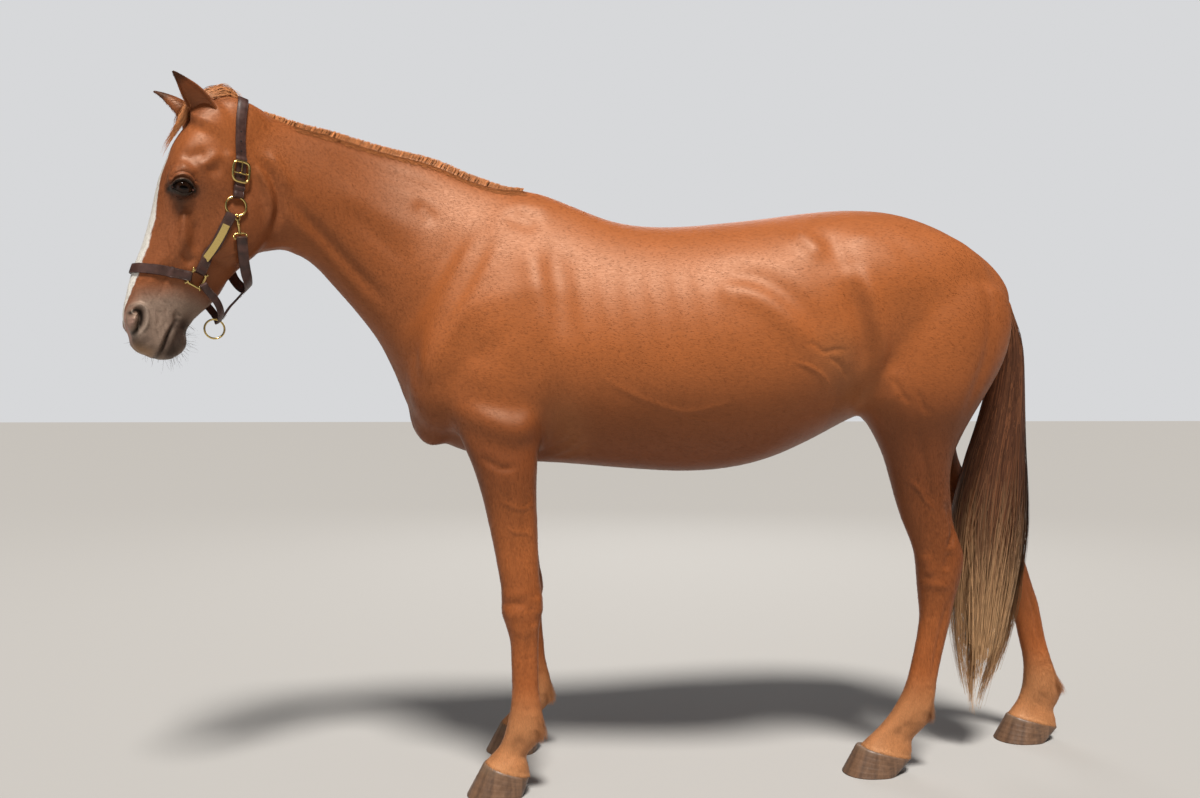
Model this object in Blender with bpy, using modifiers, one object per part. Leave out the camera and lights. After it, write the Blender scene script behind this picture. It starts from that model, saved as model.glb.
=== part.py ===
"""A life-size standing horse in a leather halter, as a still museum model.

The horse is modelled straight and facing -X, with its left side at -Y and the floor at z = 0.
Lofted sections give the trunk, neck, head and legs, and egg-shaped masses give the muscles.
They are fused into one body, the neck is bent to the left, and thin cuts part the body.
"""
import math

import bmesh
import bpy
import numpy as np
from mathutils import Matrix, Vector
from mathutils.bvhtree import BVHTree

# Driving dimensions, in metres.
WITHERS_HEIGHT = 1.57        # floor to the top of the withers
MODEL_WITHERS = 1.57         # the height that the stations below are written for
STANCE_X = -0.279            # middle of the whole horse, which becomes x = 0
STANCE_Y = -0.013            # middle of the whole horse, which becomes y = 0
PART_GAP = 0.00035           # gap left between neighbouring pieces
SOCKET_GAP = 0.0014          # gap round the roots of the ears and the tail

# The neck bends sideways between two distances ahead of the trunk's own zero.
BEND_START = 0.72
BEND_END = 1.22
BEND_ANGLE = math.radians(26.0)

# The head hangs from the poll: "down" runs to the muzzle and "out" runs to the forehead.
POLL_X = -1.37
POLL_Z = 1.735
HEAD_TILT = math.radians(14.0)

FUSE_VOXEL = 0.0075
BODY_TRIANGLES = 3500
HEAD_THINNING = 0.80          # how readily the head gives up triangles, against the trunk's 1
LEG_THINNING = 0.90
LEFT, RIGHT = -1.0, 1.0

# Trunk and neck: top x, top z, bottom x, bottom z, half width, widest level, top and bottom power.
SPINE_STATIONS = (
    (-1.400, 1.712, -1.375, 1.440, 0.050, 0.50, 2.0, 2.0),
    (-1.327, 1.736, -1.281, 1.362, 0.074, 0.47, 1.9, 2.0),
    (-1.224, 1.709, -1.224, 1.375, 0.079, 0.46, 1.7, 2.1),
    (-1.109, 1.695, -1.160, 1.352, 0.083, 0.45, 1.6, 2.1),
    (-0.979, 1.670, -1.096, 1.289, 0.090, 0.44, 1.5, 2.2),
    (-0.847, 1.645, -1.031, 1.216, 0.104, 0.42, 1.5, 2.2),
    (-0.740, 1.603, -0.979, 1.146, 0.126, 0.40, 1.5, 2.2),
    (-0.660, 1.580, -0.934, 1.053, 0.155, 0.40, 1.45, 2.2),
    (-0.600, 1.577, -0.900, 0.973, 0.182, 0.41, 1.45, 2.2),
    (-0.537, 1.565, -0.800, 0.878, 0.205, 0.42, 1.5, 2.1),
    (-0.455, 1.533, -0.640, 0.838, 0.222, 0.43, 1.55, 2.0),
    (-0.359, 1.496, -0.480, 0.826, 0.240, 0.44, 1.65, 2.0),
    (-0.270, 1.481, -0.320, 0.812, 0.258, 0.44, 1.75, 2.0),
    (-0.165, 1.481, -0.165, 0.803, 0.278, 0.44, 1.85, 2.0),
    (-0.050, 1.492, -0.040, 0.811, 0.292, 0.45, 1.9, 2.05),
    (0.061, 1.505, 0.070, 0.836, 0.297, 0.46, 1.95, 2.1),
    (0.175, 1.521, 0.180, 0.882, 0.292, 0.49, 2.0, 2.1),
    (0.290, 1.531, 0.290, 0.938, 0.280, 0.53, 2.0, 2.1),
    (0.407, 1.526, 0.400, 0.985, 0.268, 0.56, 1.95, 2.1),
    (0.524, 1.499, 0.510, 1.020, 0.243, 0.56, 1.75, 2.0),
    (0.630, 1.452, 0.610, 1.070, 0.195, 0.54, 1.65, 2.0),
    (0.712, 1.393, 0.690, 1.130, 0.140, 0.54, 1.7, 2.0),
    (0.760, 1.325, 0.745, 1.200, 0.085, 0.55, 2.0, 2.0),
)

# Head: down the head, forehead side, jaw side, half width, widest level, front and back power.
HEAD_STATIONS = (
    (-0.012, 0.015, -0.100, 0.042, 0.50, 2.0, 2.0),
    (0.015, 0.040, -0.125, 0.060, 0.55, 2.2, 2.0),
    (0.060, 0.060, -0.150, 0.070, 0.60, 2.3, 2.0),
    (0.105, 0.080, -0.168, 0.077, 0.64, 2.4, 2.0),
    (0.145, 0.091, -0.180, 0.085, 0.68, 2.6, 1.9),
    (0.190, 0.095, -0.186, 0.091, 0.72, 2.8, 1.8),
    (0.230, 0.099, -0.189, 0.091, 0.72, 2.8, 1.8),
    (0.270, 0.099, -0.188, 0.083, 0.66, 2.5, 1.9),
    (0.310, 0.097, -0.184, 0.077, 0.58, 2.2, 1.9),
    (0.345, 0.096, -0.172, 0.073, 0.56, 2.0, 1.9),
    (0.385, 0.096, -0.148, 0.069, 0.55, 1.9, 1.9),
    (0.425, 0.098, -0.126, 0.063, 0.53, 1.9, 1.9),
    (0.465, 0.102, -0.108, 0.057, 0.52, 1.9, 1.9),
    (0.505, 0.101, -0.086, 0.051, 0.52, 2.0, 1.9),
    (0.545, 0.099, -0.062, 0.048, 0.54, 2.1, 2.0),
    (0.580, 0.095, -0.052, 0.050, 0.55, 2.2, 2.0),
    (0.608, 0.082, -0.053, 0.048, 0.50, 2.2, 2.1),
    (0.634, 0.060, -0.050, 0.042, 0.48, 2.1, 2.1),
    (0.653, 0.036, -0.034, 0.031, 0.50, 2.0, 2.0),
    (0.661, 0.016, -0.012, 0.014, 0.50, 2.0, 2.0),
)

# Left fore leg: height, front x, back x, distance from the middle, half width.
FORE_STATIONS = (
    (1.020, -0.800, -0.560, 0.135, 0.055),
    (0.950, -0.795, -0.540, 0.148, 0.072),
    (0.895, -0.766, -0.545, 0.156, 0.073),
    (0.840, -0.736, -0.560, 0.161, 0.069),
    (0.760, -0.709, -0.563, 0.164, 0.061),
    (0.690, -0.692, -0.562, 0.165, 0.053),
    (0.620, -0.676, -0.560, 0.165, 0.046),
    (0.555, -0.664, -0.557, 0.165, 0.041),
    (0.505, -0.656, -0.551, 0.165, 0.042),
    (0.465, -0.657, -0.549, 0.165, 0.045),
    (0.425, -0.646, -0.556, 0.165, 0.043),
    (0.385, -0.635, -0.559, 0.165, 0.034),
    (0.330, -0.632, -0.559, 0.165, 0.029),
    (0.265, -0.630, -0.558, 0.165, 0.028),
    (0.215, -0.634, -0.551, 0.165, 0.032),
    (0.175, -0.642, -0.546, 0.165, 0.037),
    (0.145, -0.650, -0.550, 0.165, 0.036),
    (0.120, -0.661, -0.567, 0.165, 0.031),
    (0.097, -0.682, -0.590, 0.165, 0.033),
    (0.075, -0.699, -0.586, 0.165, 0.043),
    (0.035, -0.712, -0.580, 0.165, 0.048),
)

# Left hind leg: height, front x, back x, distance from the middle, half width.
HIND_STATIONS = (
    (1.300, 0.350, 0.700, 0.125, 0.115),
    (1.225, 0.315, 0.716, 0.132, 0.128),
    (1.150, 0.300, 0.705, 0.138, 0.129),
    (1.085, 0.290, 0.680, 0.142, 0.122),
    (1.020, 0.284, 0.641, 0.145, 0.116),
    (0.965, 0.298, 0.606, 0.146, 0.105),
    (0.910, 0.330, 0.576, 0.145, 0.083),
    (0.850, 0.358, 0.550, 0.144, 0.069),
    (0.790, 0.376, 0.543, 0.142, 0.059),
    (0.730, 0.393, 0.547, 0.140, 0.051),
    (0.680, 0.410, 0.555, 0.138, 0.045),
    (0.635, 0.430, 0.568, 0.136, 0.040),
    (0.592, 0.446, 0.584, 0.134, 0.039),
    (0.556, 0.453, 0.585, 0.131, 0.042),
    (0.504, 0.458, 0.573, 0.128, 0.043),
    (0.452, 0.464, 0.560, 0.125, 0.039),
    (0.411, 0.466, 0.553, 0.123, 0.034),
    (0.354, 0.458, 0.541, 0.120, 0.029),
    (0.277, 0.442, 0.524, 0.117, 0.028),
    (0.221, 0.427, 0.514, 0.115, 0.032),
    (0.176, 0.404, 0.507, 0.114, 0.037),
    (0.141, 0.379, 0.499, 0.113, 0.037),
    (0.111, 0.349, 0.475, 0.112, 0.032),
    (0.087, 0.322, 0.450, 0.111, 0.033),
    (0.062, 0.303, 0.449, 0.110, 0.043),
    (0.022, 0.283, 0.441, 0.110, 0.048),
)

# Side outlines that the legs are cut out by, clockwise in x and z, and how near the middle.
FORE_OUTLINE = ((-0.87, -0.10), (-0.87, 0.895), (-0.53, 0.895), (-0.47, 0.60), (-0.47, -0.10))
HIND_OUTLINE = ((0.15, -0.10), (0.15, 0.78), (0.262, 0.915), (1.15, 1.215), (1.15, -0.10))
FORE_INSIDE = 0.066
HIND_INSIDE = 0.003

# How far back the right legs stand: height, distance.
FORE_SETBACK = ((1.1, 0.0), (0.85, 0.0), (0.5, 0.012), (0.15, 0.040), (0.0, 0.045))
HIND_SETBACK = (
    (1.40, 0.0), (1.20, 0.02), (1.00, 0.08), (0.90, 0.12), (0.80, 0.17), (0.70, 0.22),
    (0.60, 0.277), (0.50, 0.335), (0.40, 0.388), (0.30, 0.428), (0.20, 0.474), (0.10, 0.525),
    (0.0, 0.548),
)

# Muscle masses of one side: centre x, y, z, radii along, across and up, then two leans of its
# upright axis in degrees: towards the head at the bottom, and outward at the bottom.
MUSCLES = {
    "shoulder blade": (-0.715, 0.098, 1.265, 0.110, 0.075, 0.285, 32.0, 15.0),
    "point of shoulder": (-0.812, 0.100, 1.035, 0.100, 0.088, 0.125, 0.0, 0.0),
    "upper arm": (-0.660, 0.115, 1.050, 0.165, 0.098, 0.165, 0.0, 0.0),
    "breast": (-0.838, 0.052, 0.972, 0.066, 0.062, 0.100, 0.0, 0.0),
    "croup": (0.410, 0.110, 1.310, 0.265, 0.142, 0.165, 0.0, 0.0),
    "hip": (0.285, 0.182, 1.400, 0.060, 0.055, 0.045, 0.0, 0.0),
    "buttock": (0.600, 0.090, 1.205, 0.116, 0.100, 0.165, 0.0, 0.0),
}

# Head masses of one side: down, out, across, and their radii.
HEAD_FORMS = {
    "orbit": (0.238, 0.056, 0.076, 0.044, 0.034, 0.027),
    "cheek": (0.285, -0.085, 0.048, 0.115, 0.088, 0.036),
    "facial crest": (0.350, 0.015, 0.052, 0.090, 0.030, 0.026),
    "nostril": (0.580, 0.066, 0.036, 0.038, 0.024, 0.019),
    "upper lip": (0.622, 0.026, 0.016, 0.036, 0.042, 0.034),
    "chin": (0.610, -0.034, 0.010, 0.034, 0.026, 0.030),
}

EYE_PLACE = (0.262, 0.048, 0.0805)   # down, out, across
EYE_RADIUS = 0.0215
EYE_STEPS = 12

EAR_BASE = (0.095, -0.006, 0.042)
EAR_TIPS = {LEFT: (-0.008, 0.134, 0.066), RIGHT: (0.004, 0.152, 0.070)}
EAR_SHELL = 0.0035           # thickness of the ear's wall
EAR_HOOK = 0.10              # how strongly the tip curls forward
# Ear: share of its length, half width, depth of its back, and how hollow its front is.
EAR_STATIONS = (
    (0.00, 0.018, 0.018, 0.0),
    (0.20, 0.025, 0.026, 0.0),
    (0.38, 0.031, 0.029, 0.35),
    (0.55, 0.030, 0.025, 0.70),
    (0.72, 0.023, 0.018, 0.75),
    (0.86, 0.013, 0.011, 0.70),
    (0.95, 0.0065, 0.006, 0.40),
    (1.00, 0.0022, 0.0025, 0.0),
)

# Hooves: toe and heel on the floor, toe and heel of the coronet (x, then z), half widths.
FORE_APART = 0.165           # middle of a fore hoof to the middle of the horse
HIND_APART = 0.110
FORE_HOOF = (-0.742, -0.600, (-0.698, 0.082), (-0.584, 0.044), 0.064, 0.047)
HIND_HOOF = (0.258, 0.396, (0.297, 0.074), (0.440, 0.038), 0.061, 0.047)

# Tail: height, front x, back x, half width.
TAIL_STATIONS = (
    (1.345, 0.690, 0.735, 0.022),
    (1.300, 0.738, 0.780, 0.030),
    (1.240, 0.752, 0.803, 0.038),
    (1.150, 0.748, 0.823, 0.047),
    (1.050, 0.728, 0.827, 0.055),
    (0.950, 0.700, 0.829, 0.060),
    (0.850, 0.664, 0.833, 0.062),
    (0.750, 0.633, 0.840, 0.062),
    (0.650, 0.612, 0.843, 0.059),
    (0.550, 0.604, 0.836, 0.053),
    (0.450, 0.601, 0.821, 0.045),
    (0.350, 0.606, 0.798, 0.036),
    (0.250, 0.622, 0.760, 0.026),
    (0.160, 0.650, 0.712, 0.014),
    (0.085, 0.672, 0.690, 0.004),
)

# The mane falls to the right of the crest: where it starts and ends, and how long it is.
MANE_FROM = 1.285
MANE_TO = 0.600
MANE_START = 0.014           # its root below the top of the crest
MANE_LENGTH = 0.145
MANE_JAG = 0.14              # how uneven its lower edge is
MANE_FADE = 0.22             # the stretch before the withers where it gets short
MANE_ROWS = 22
MANE_LIFT = 0.0045
MANE_THICK = 0.010

# The forelock falls over the forehead: down, out, across.
FORELOCK_PATH = ((-0.006, 0.012, 0.0), (0.010, 0.038, 0.0), (0.045, 0.062, 0.0), (0.085, 0.082, 0.0),
                 (0.125, 0.094, 0.0))
FORELOCK_WIDTH = 0.040
FORELOCK_THICK = 0.012
FORELOCK_TAPER = 0.35        # its width at the tip, as a share

# Halter straps, by places on the left of the head: down, out, across.
STRAP_WIDTH = 0.025
STRAP_THICK = 0.0034
STRAP_LIFT = 0.0024
CROWN_LIFT = 0.0046
STRAP_STEP = 0.019           # spacing of a strap's sections
NOSE_WIDTH = 0.024
CHIN_WIDTH = 0.018
JAW_WIDTH = 0.017
CROWN_PATH = ((0.233, -0.071, -0.085), (0.195, -0.066, -0.085), (0.150, -0.057, -0.083),
              (0.100, -0.043, -0.078), (0.050, -0.034, -0.066), (0.018, -0.031, -0.045),
              (-0.002, -0.031, -0.022), (-0.006, -0.031, 0.0))
CHEEK_PATH = ((0.288, -0.066, -0.085), (0.330, -0.059, -0.085), (0.385, -0.050, -0.080),
              (0.436, -0.041, -0.074))
NOSE_PATH = ((0.4555, -0.016, -0.070), (0.457, 0.030, -0.060), (0.461, 0.070, -0.045),
             (0.465, 0.098, -0.022), (0.466, 0.104, 0.0))
THROAT_PATH = ((0.338, -0.104, -0.088), (0.368, -0.116, -0.083), (0.398, -0.131, -0.072),
               (0.420, -0.147, -0.050), (0.430, -0.156, -0.025), (0.432, -0.158, 0.0))
CHIN_PATH = ((0.476, -0.062, -0.068), (0.490, -0.086, -0.058), (0.507, -0.104, -0.042),
             (0.520, -0.112, -0.026), (0.525, -0.114, -0.014))
JAW_PATH = ((0.4495, -0.1475, 0.0), (0.466, -0.140, 0.0), (0.488, -0.129, 0.0), (0.512, -0.1215, 0.0))
PLATE_SHARE = 0.66           # nameplate's width, as a share of its strap's
PLATE_THICK = 0.0012
PLATE_LIFT = 0.0010          # gap under the nameplate
RING_PLACE = (0.262, -0.073, -0.085)
RING_RADIUS = 0.0235
RING_WIRE = 0.0022
SQUARE_PLACE = (0.4575, -0.037, -0.070)
SQUARE_HALF = 0.0165
BUCKLE_PLACE = (0.178, -0.062, -0.084)
BUCKLE_HALF = (0.0205, 0.0245)
BUCKLE_WIRE = 0.0022
BUCKLE_LIFT = 0.0038         # how far its wire's middle lies over the strap
LEAD_RING_PLACE = (0.552, -0.112, 0.0)
LEAD_RING_RADIUS = 0.0235
LEAD_RING_WIRE = 0.0024
SNAP_TOP = (0.292, -0.084, -0.088)
SNAP_END = (0.322, -0.097, -0.088)
SNAP_RADIUS = 0.0042
SNAP_LIFT = 0.002            # how far it lies over the rings' middle

HORSE_COAT = (0.300, 0.085, 0.027)
HAIR_DARK = (0.090, 0.038, 0.020)
HAIR_TAN = (0.420, 0.200, 0.085)
HORN = (0.105, 0.075, 0.055)
EYE_BROWN = (0.012, 0.007, 0.005)
LEATHER_BROWN = (0.050, 0.022, 0.016)
BRASS = (0.620, 0.440, 0.150)


def refine(stations, steps):
    """Rows read from a smooth curve through the stations, with a number of steps between two."""
    rows = np.array(stations, float)
    ends = np.vstack([2 * rows[0] - rows[1], rows, 2 * rows[-1] - rows[-2]])
    found = []
    for before, here, there, after in zip(ends, ends[1:], ends[2:], ends[3:]):
        for part in np.arange(steps) / steps:
            slope = (there - before) * part
            bow = (2 * before - 5 * here + 4 * there - after) * part ** 2
            twist = (3 * here - 3 * there + after - before) * part ** 3
            found.append(0.5 * (2 * here + slope + bow + twist))
    found.append(rows[-1])
    return np.array(found)


def oval(centre, up, side, above, below, half_width, power_up, power_down, count=40):
    """A closed ring of points, rounder or squarer above and below its widest level."""
    angle = np.linspace(0, 2 * math.pi, count, endpoint=False)
    rise, spread = np.sin(angle), np.cos(angle)
    power = 2 / np.where(rise > 0, power_up, power_down)
    height = np.sign(rise) * np.abs(rise) ** power * np.where(rise > 0, above, below)
    width = np.sign(spread) * np.abs(spread) ** power * half_width
    return np.asarray(centre) + np.outer(height, up) + np.outer(width, side)


def loft(rings):
    """A closed body through a row of rings, as points and faces."""
    count = len(rings[0])
    points = np.vstack(rings)
    faces = []
    for row in range(len(rings) - 1):
        for k in range(count):
            near, far = row * count + k, row * count + (k + 1) % count
            faces.append((near, far, far + count, near + count))
    faces.append(tuple(range(count))[::-1])
    last = (len(rings) - 1) * count
    faces.append(tuple(range(last, last + count)))
    return points, faces


def egg(centre, axes, around=28):
    """A ball stretched along three axes, as points and faces."""
    ball = bmesh.new()
    bmesh.ops.create_uvsphere(ball, u_segments=around, v_segments=around * 5 // 8, radius=1.0)
    points = np.array([vert.co for vert in ball.verts]) @ np.array(axes) + np.array(centre)
    faces = [tuple(vert.index for vert in face.verts) for face in ball.faces]
    ball.free()
    return points, faces


def make_mesh(name, pieces):
    """One mesh from several bodies of points and faces, each with its faces turned outward."""
    body = bmesh.new()
    for points, faces in pieces:
        verts = [body.verts.new(point) for point in points]
        for face in faces:
            body.faces.new([verts[k] for k in face])
    bmesh.ops.recalc_face_normals(body, faces=body.faces[:])
    mesh = bpy.data.meshes.new(name)
    body.to_mesh(mesh)
    body.free()
    return mesh


def head_point(down, out, across):
    """A place on the head, before the neck is bent."""
    x = POLL_X - down * math.sin(HEAD_TILT) - out * math.cos(HEAD_TILT)
    z = POLL_Z - down * math.cos(HEAD_TILT) + out * math.sin(HEAD_TILT)
    return np.array([x, across, z])


HEAD_DOWN = head_point(1, 0, 0) - head_point(0, 0, 0)
HEAD_OUT = head_point(0, 1, 0) - head_point(0, 0, 0)
ACROSS = np.array([0.0, 1.0, 0.0])
ALONG = np.array([1.0, 0.0, 0.0])
UP = np.array([0.0, 0.0, 1.0])


def bend(points):
    """Places after the neck is bent to the left."""
    reach = np.linspace(0, 2.0, 1001)
    part = np.clip((reach - BEND_START) / (BEND_END - BEND_START), 0, 1)
    heading = BEND_ANGLE * part * part * (3 - 2 * part)
    step = reach[1]
    ahead = np.append(0, np.cumsum((np.cos(heading[1:]) + np.cos(heading[:-1])) * step / 2))
    aside = np.append(0, np.cumsum((np.sin(heading[1:]) + np.sin(heading[:-1])) * step / 2))
    points = np.array(points, float)
    distance, across = -points[..., 0], points[..., 1].copy()
    turn = np.where(distance > 0, np.interp(distance, reach, heading), 0)
    forward = np.where(distance > 0, np.interp(distance, reach, ahead), distance)
    sideways = np.where(distance > 0, np.interp(distance, reach, aside), 0)
    points[..., 0] = -forward - across * np.sin(turn)
    points[..., 1] = -sideways + across * np.cos(turn)
    return points


def spine_body():
    """Trunk and neck in one loft, its sections leaning with the neck."""
    rings = []
    for top_x, top_z, low_x, low_z, width, level, power_top, power_low in refine(SPINE_STATIONS, 4):
        top, low = np.array([top_x, 0, top_z]), np.array([low_x, 0, low_z])
        height = np.linalg.norm(top - low)
        up = (top - low) / height
        centre = low + (top - low) * level
        rings.append(oval(centre, up, ACROSS, height * (1 - level), height * level, width,
                          power_top, power_low))
    return loft(rings)


def head_body():
    """The head from the poll to the lips."""
    rings = []
    for down, front, back, width, level, power_front, power_back in refine(HEAD_STATIONS, 4):
        depth = front - back
        centre = head_point(down, back + depth * level, 0)
        rings.append(oval(centre, HEAD_OUT, ACROSS, depth * (1 - level), depth * level, width,
                          power_front, power_back))
    return loft(rings)


def leg_body(stations, side, table):
    """A leg in level sections. The right one stands further back the lower it gets."""
    rings = []
    for height, front, back, apart, width in refine(stations, 3):
        shift = setback(table, height) if side == RIGHT else 0.0
        centre = ((front + back) / 2 + shift, side * apart, height)
        half = (back - front) / 2
        rings.append(oval(centre, ALONG, ACROSS, half, half, width, 2.2, 2.2))
    return loft(rings)


def muscle_bodies():
    """The muscle masses of both sides."""
    bodies = []
    for x, y, z, along, across, upward, lean, splay in MUSCLES.values():
        for side in (LEFT, RIGHT):
            turn = Matrix.Rotation(math.radians(lean), 3, "Y")
            turn = turn @ Matrix.Rotation(math.radians(side * splay), 3, "X")
            axes = np.array(turn).T * np.array([[along], [across], [upward]])
            bodies.append(egg((x, side * y, z), axes))
    return bodies


def head_masses():
    """Orbits, cheeks, nostrils, lips and chin."""
    bodies = []
    for down, out, across, long, deep, wide in HEAD_FORMS.values():
        for side in (LEFT, RIGHT):
            centre = head_point(down, out, side * across)
            bodies.append(egg(centre, (HEAD_DOWN * long, ACROSS * wide, HEAD_OUT * deep)))
    return bodies


def relax(points, edges, rounds, weight):
    """Points pulled towards their neighbours' middle, each by its own weight."""
    first, second = edges.T
    count = len(points)
    valence = np.bincount(edges.ravel(), minlength=count)[:, None]
    for _ in range(rounds):
        total = np.empty_like(points)
        for axis in range(3):
            total[:, axis] = np.bincount(first, points[second, axis], count)
            total[:, axis] += np.bincount(second, points[first, axis], count)
        points = points + weight[:, None] * (total / valence - points)
    return points


def get_points(mesh):
    """A mesh's points as an array."""
    points = np.empty(len(mesh.vertices) * 3)
    mesh.vertices.foreach_get("co", points)
    return points.reshape(-1, 3)


def set_points(mesh, points):
    """Puts an array of points back in a mesh."""
    mesh.vertices.foreach_set("co", np.asarray(points, float).ravel())
    mesh.update()


def softness(points):
    """How much each part of the body is smoothed: most on the trunk, least on head and feet."""
    x, z = points[:, 0], points[:, 2]
    legs = np.interp(z, (0.60, 0.95), (0.10, 1.0))
    head = np.interp(x, (-1.36, -1.18), (0.06, 1.0))
    return 0.6 * np.minimum(legs, head)


def evaluated(thing, name):
    """A new mesh of an object with its modifiers applied; the object is removed."""
    graph = bpy.context.evaluated_depsgraph_get()
    mesh = bpy.data.meshes.new_from_object(thing.evaluated_get(graph))
    mesh.name = name
    bpy.data.objects.remove(thing)
    return mesh


def whole_body():
    """The fused, smoothed and bent body, in few enough triangles."""
    pieces = [spine_body(), head_body()]
    for side in (LEFT, RIGHT):
        pieces.append(leg_body(FORE_STATIONS, side, FORE_SETBACK))
        pieces.append(leg_body(HIND_STATIONS, side, HIND_SETBACK))
    pieces += muscle_bodies() + head_masses()
    form = bpy.data.objects.new("form", make_mesh("form", pieces))
    bpy.context.scene.collection.objects.link(form)
    fuse = form.modifiers.new("Fuse", "REMESH")
    fuse.mode = "VOXEL"
    fuse.voxel_size = FUSE_VOXEL
    mesh = evaluated(form, "fused")
    edges = np.empty(len(mesh.edges) * 2, int)
    mesh.edges.foreach_get("vertices", edges)
    points = get_points(mesh)
    points = relax(points, edges.reshape(-1, 2), 30, softness(points))
    set_points(mesh, bend(points))
    skin = BVHTree.FromPolygons([tuple(p) for p in get_points(mesh)],
                                [tuple(face.vertices) for face in mesh.polygons])
    body = bpy.data.objects.new("body", mesh)
    bpy.context.scene.collection.objects.link(body)
    plain = body.vertex_groups.new(name="plain")
    places = get_points(mesh)
    share = np.interp(places[:, 0], (-1.30, -1.15), (HEAD_THINNING, 1.0))
    share = np.minimum(share, np.interp(places[:, 2], (0.70, 0.90), (LEG_THINNING, 1.0)))
    for level in np.linspace(0.05, 1.0, 20):
        near = np.nonzero(np.abs(share - level) <= 0.025)[0]
        plain.add([int(k) for k in near], float(level), "REPLACE")
    thin = body.modifiers.new("Fewer", "DECIMATE")
    thin.vertex_group = plain.name
    thin.vertex_group_factor = 0.3
    thin.ratio = BODY_TRIANGLES / (2 * len(mesh.polygons))
    return evaluated(body, "body"), skin


def boolean(mesh, cutter, operation):
    """A mesh kept inside a cutter, or with the cutter taken away."""
    thing = bpy.data.objects.new("work", mesh)
    bpy.context.scene.collection.objects.link(thing)
    cut = thing.modifiers.new("Cut", "BOOLEAN")
    cut.operation = operation
    cut.object = cutter
    return evaluated(thing, mesh.name)


def keep_side(mesh, place, normal):
    """A copy of a mesh with only what lies behind a plane, its cut closed flat."""
    body = bmesh.new()
    body.from_mesh(mesh)
    everything = body.verts[:] + body.edges[:] + body.faces[:]
    found = bmesh.ops.bisect_plane(body, geom=everything, dist=1e-6, plane_co=Vector(place),
                                   plane_no=Vector(normal), clear_outer=True)
    rim = [item for item in found["geom_cut"] if isinstance(item, bmesh.types.BMEdge)]
    bmesh.ops.edgenet_fill(body, edges=rim)
    bmesh.ops.triangulate(body, faces=[face for face in body.faces if len(face.verts) > 4])
    result = bpy.data.meshes.new(mesh.name)
    body.to_mesh(result)
    body.free()
    return result


def add_cutter(name, pieces):
    """A hidden solid that other pieces are cut with."""
    cutter = bpy.data.objects.new(name, make_mesh(name, pieces))
    cutters.objects.link(cutter)
    cutter.hide_render = True
    cutter.display_type = "WIRE"
    return cutter


def grown(outline, gap):
    """A flat outline with every edge moved outward by a gap."""
    corners = np.array(outline, float)
    edges = np.roll(corners, -1, axis=0) - corners
    edges /= np.linalg.norm(edges, axis=1)[:, None]
    outward = np.stack([-edges[:, 1], edges[:, 0]], axis=1)
    before = np.roll(outward, 1, axis=0)
    return corners + gap * (outward + before) / (1 + (outward * before).sum(axis=1))[:, None]


def leg_block(legs, side, gap):
    """The prism that holds one leg, grown on every side by a gap."""
    outline = grown(FORE_OUTLINE if legs == "fore" else HIND_OUTLINE, gap)
    inside = (FORE_INSIDE if legs == "fore" else HIND_INSIDE) - gap
    rings = [np.array([(x, side * y, z) for x, z in outline]) for y in (inside, 0.42)]
    return loft(rings)


def add_part(name, mesh, colour, roughness, metallic=0.0, smooth=True):
    """A named piece with its own material, moved to stand about the origin."""
    mesh.transform(Matrix.Translation((-STANCE_X, -STANCE_Y, 0)))
    size = WITHERS_HEIGHT / MODEL_WITHERS
    mesh.transform(Matrix.Scale(size, 4))
    finish = bpy.data.materials.new(name + "_finish")
    finish.use_nodes = True
    shader = finish.node_tree.nodes["Principled BSDF"]
    shader.inputs["Base Color"].default_value = (*colour, 1.0)
    shader.inputs["Roughness"].default_value = roughness
    shader.inputs["Metallic"].default_value = metallic
    finish.diffuse_color = (*colour, 1.0)
    mesh.materials.clear()
    mesh.materials.append(finish)
    if smooth:
        mesh.shade_smooth()
        mesh.set_sharp_from_angle(angle=math.radians(35))
    part = bpy.data.objects.new(name, mesh)
    parts.objects.link(part)
    return part


def setback(table, height):
    """How far back the right leg stands at a height."""
    return np.interp(height, [row[0] for row in table][::-1], [row[1] for row in table][::-1])


def coronet(hoof, table, side):
    """The toe and heel of a hoof's top, in x and z, and how far back this leg stands."""
    toe, heel = hoof[2], hoof[3]
    shift = setback(table, 0.03) if side == RIGHT else 0.0
    return np.array([toe[0] + shift, 0, toe[1]]), np.array([heel[0] + shift, 0, heel[1]]), shift


def hoof_body(hoof, table, side, apart):
    """A hoof from its flat sole up to the sloping coronet."""
    toe, heel, shift = coronet(hoof, table, side)
    floor_toe, floor_heel = np.array([hoof[0] + shift, 0, 0]), np.array([hoof[1] + shift, 0, 0])
    rings = []
    for part in (0.0, 0.35, 0.7, 1.0):
        front = floor_toe + (toe - floor_toe) * part
        back = floor_heel + (heel - floor_heel) * part
        half = np.linalg.norm(back - front) / 2
        along = (back - front) / (2 * half)
        middle = (front + back) / 2 + ACROSS * side * apart
        width = hoof[4] + (hoof[5] - hoof[4]) * part
        rings.append(oval(middle, along, ACROSS, half, half, width, 3.0, 2.1, 20))
    return loft(rings)


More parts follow.
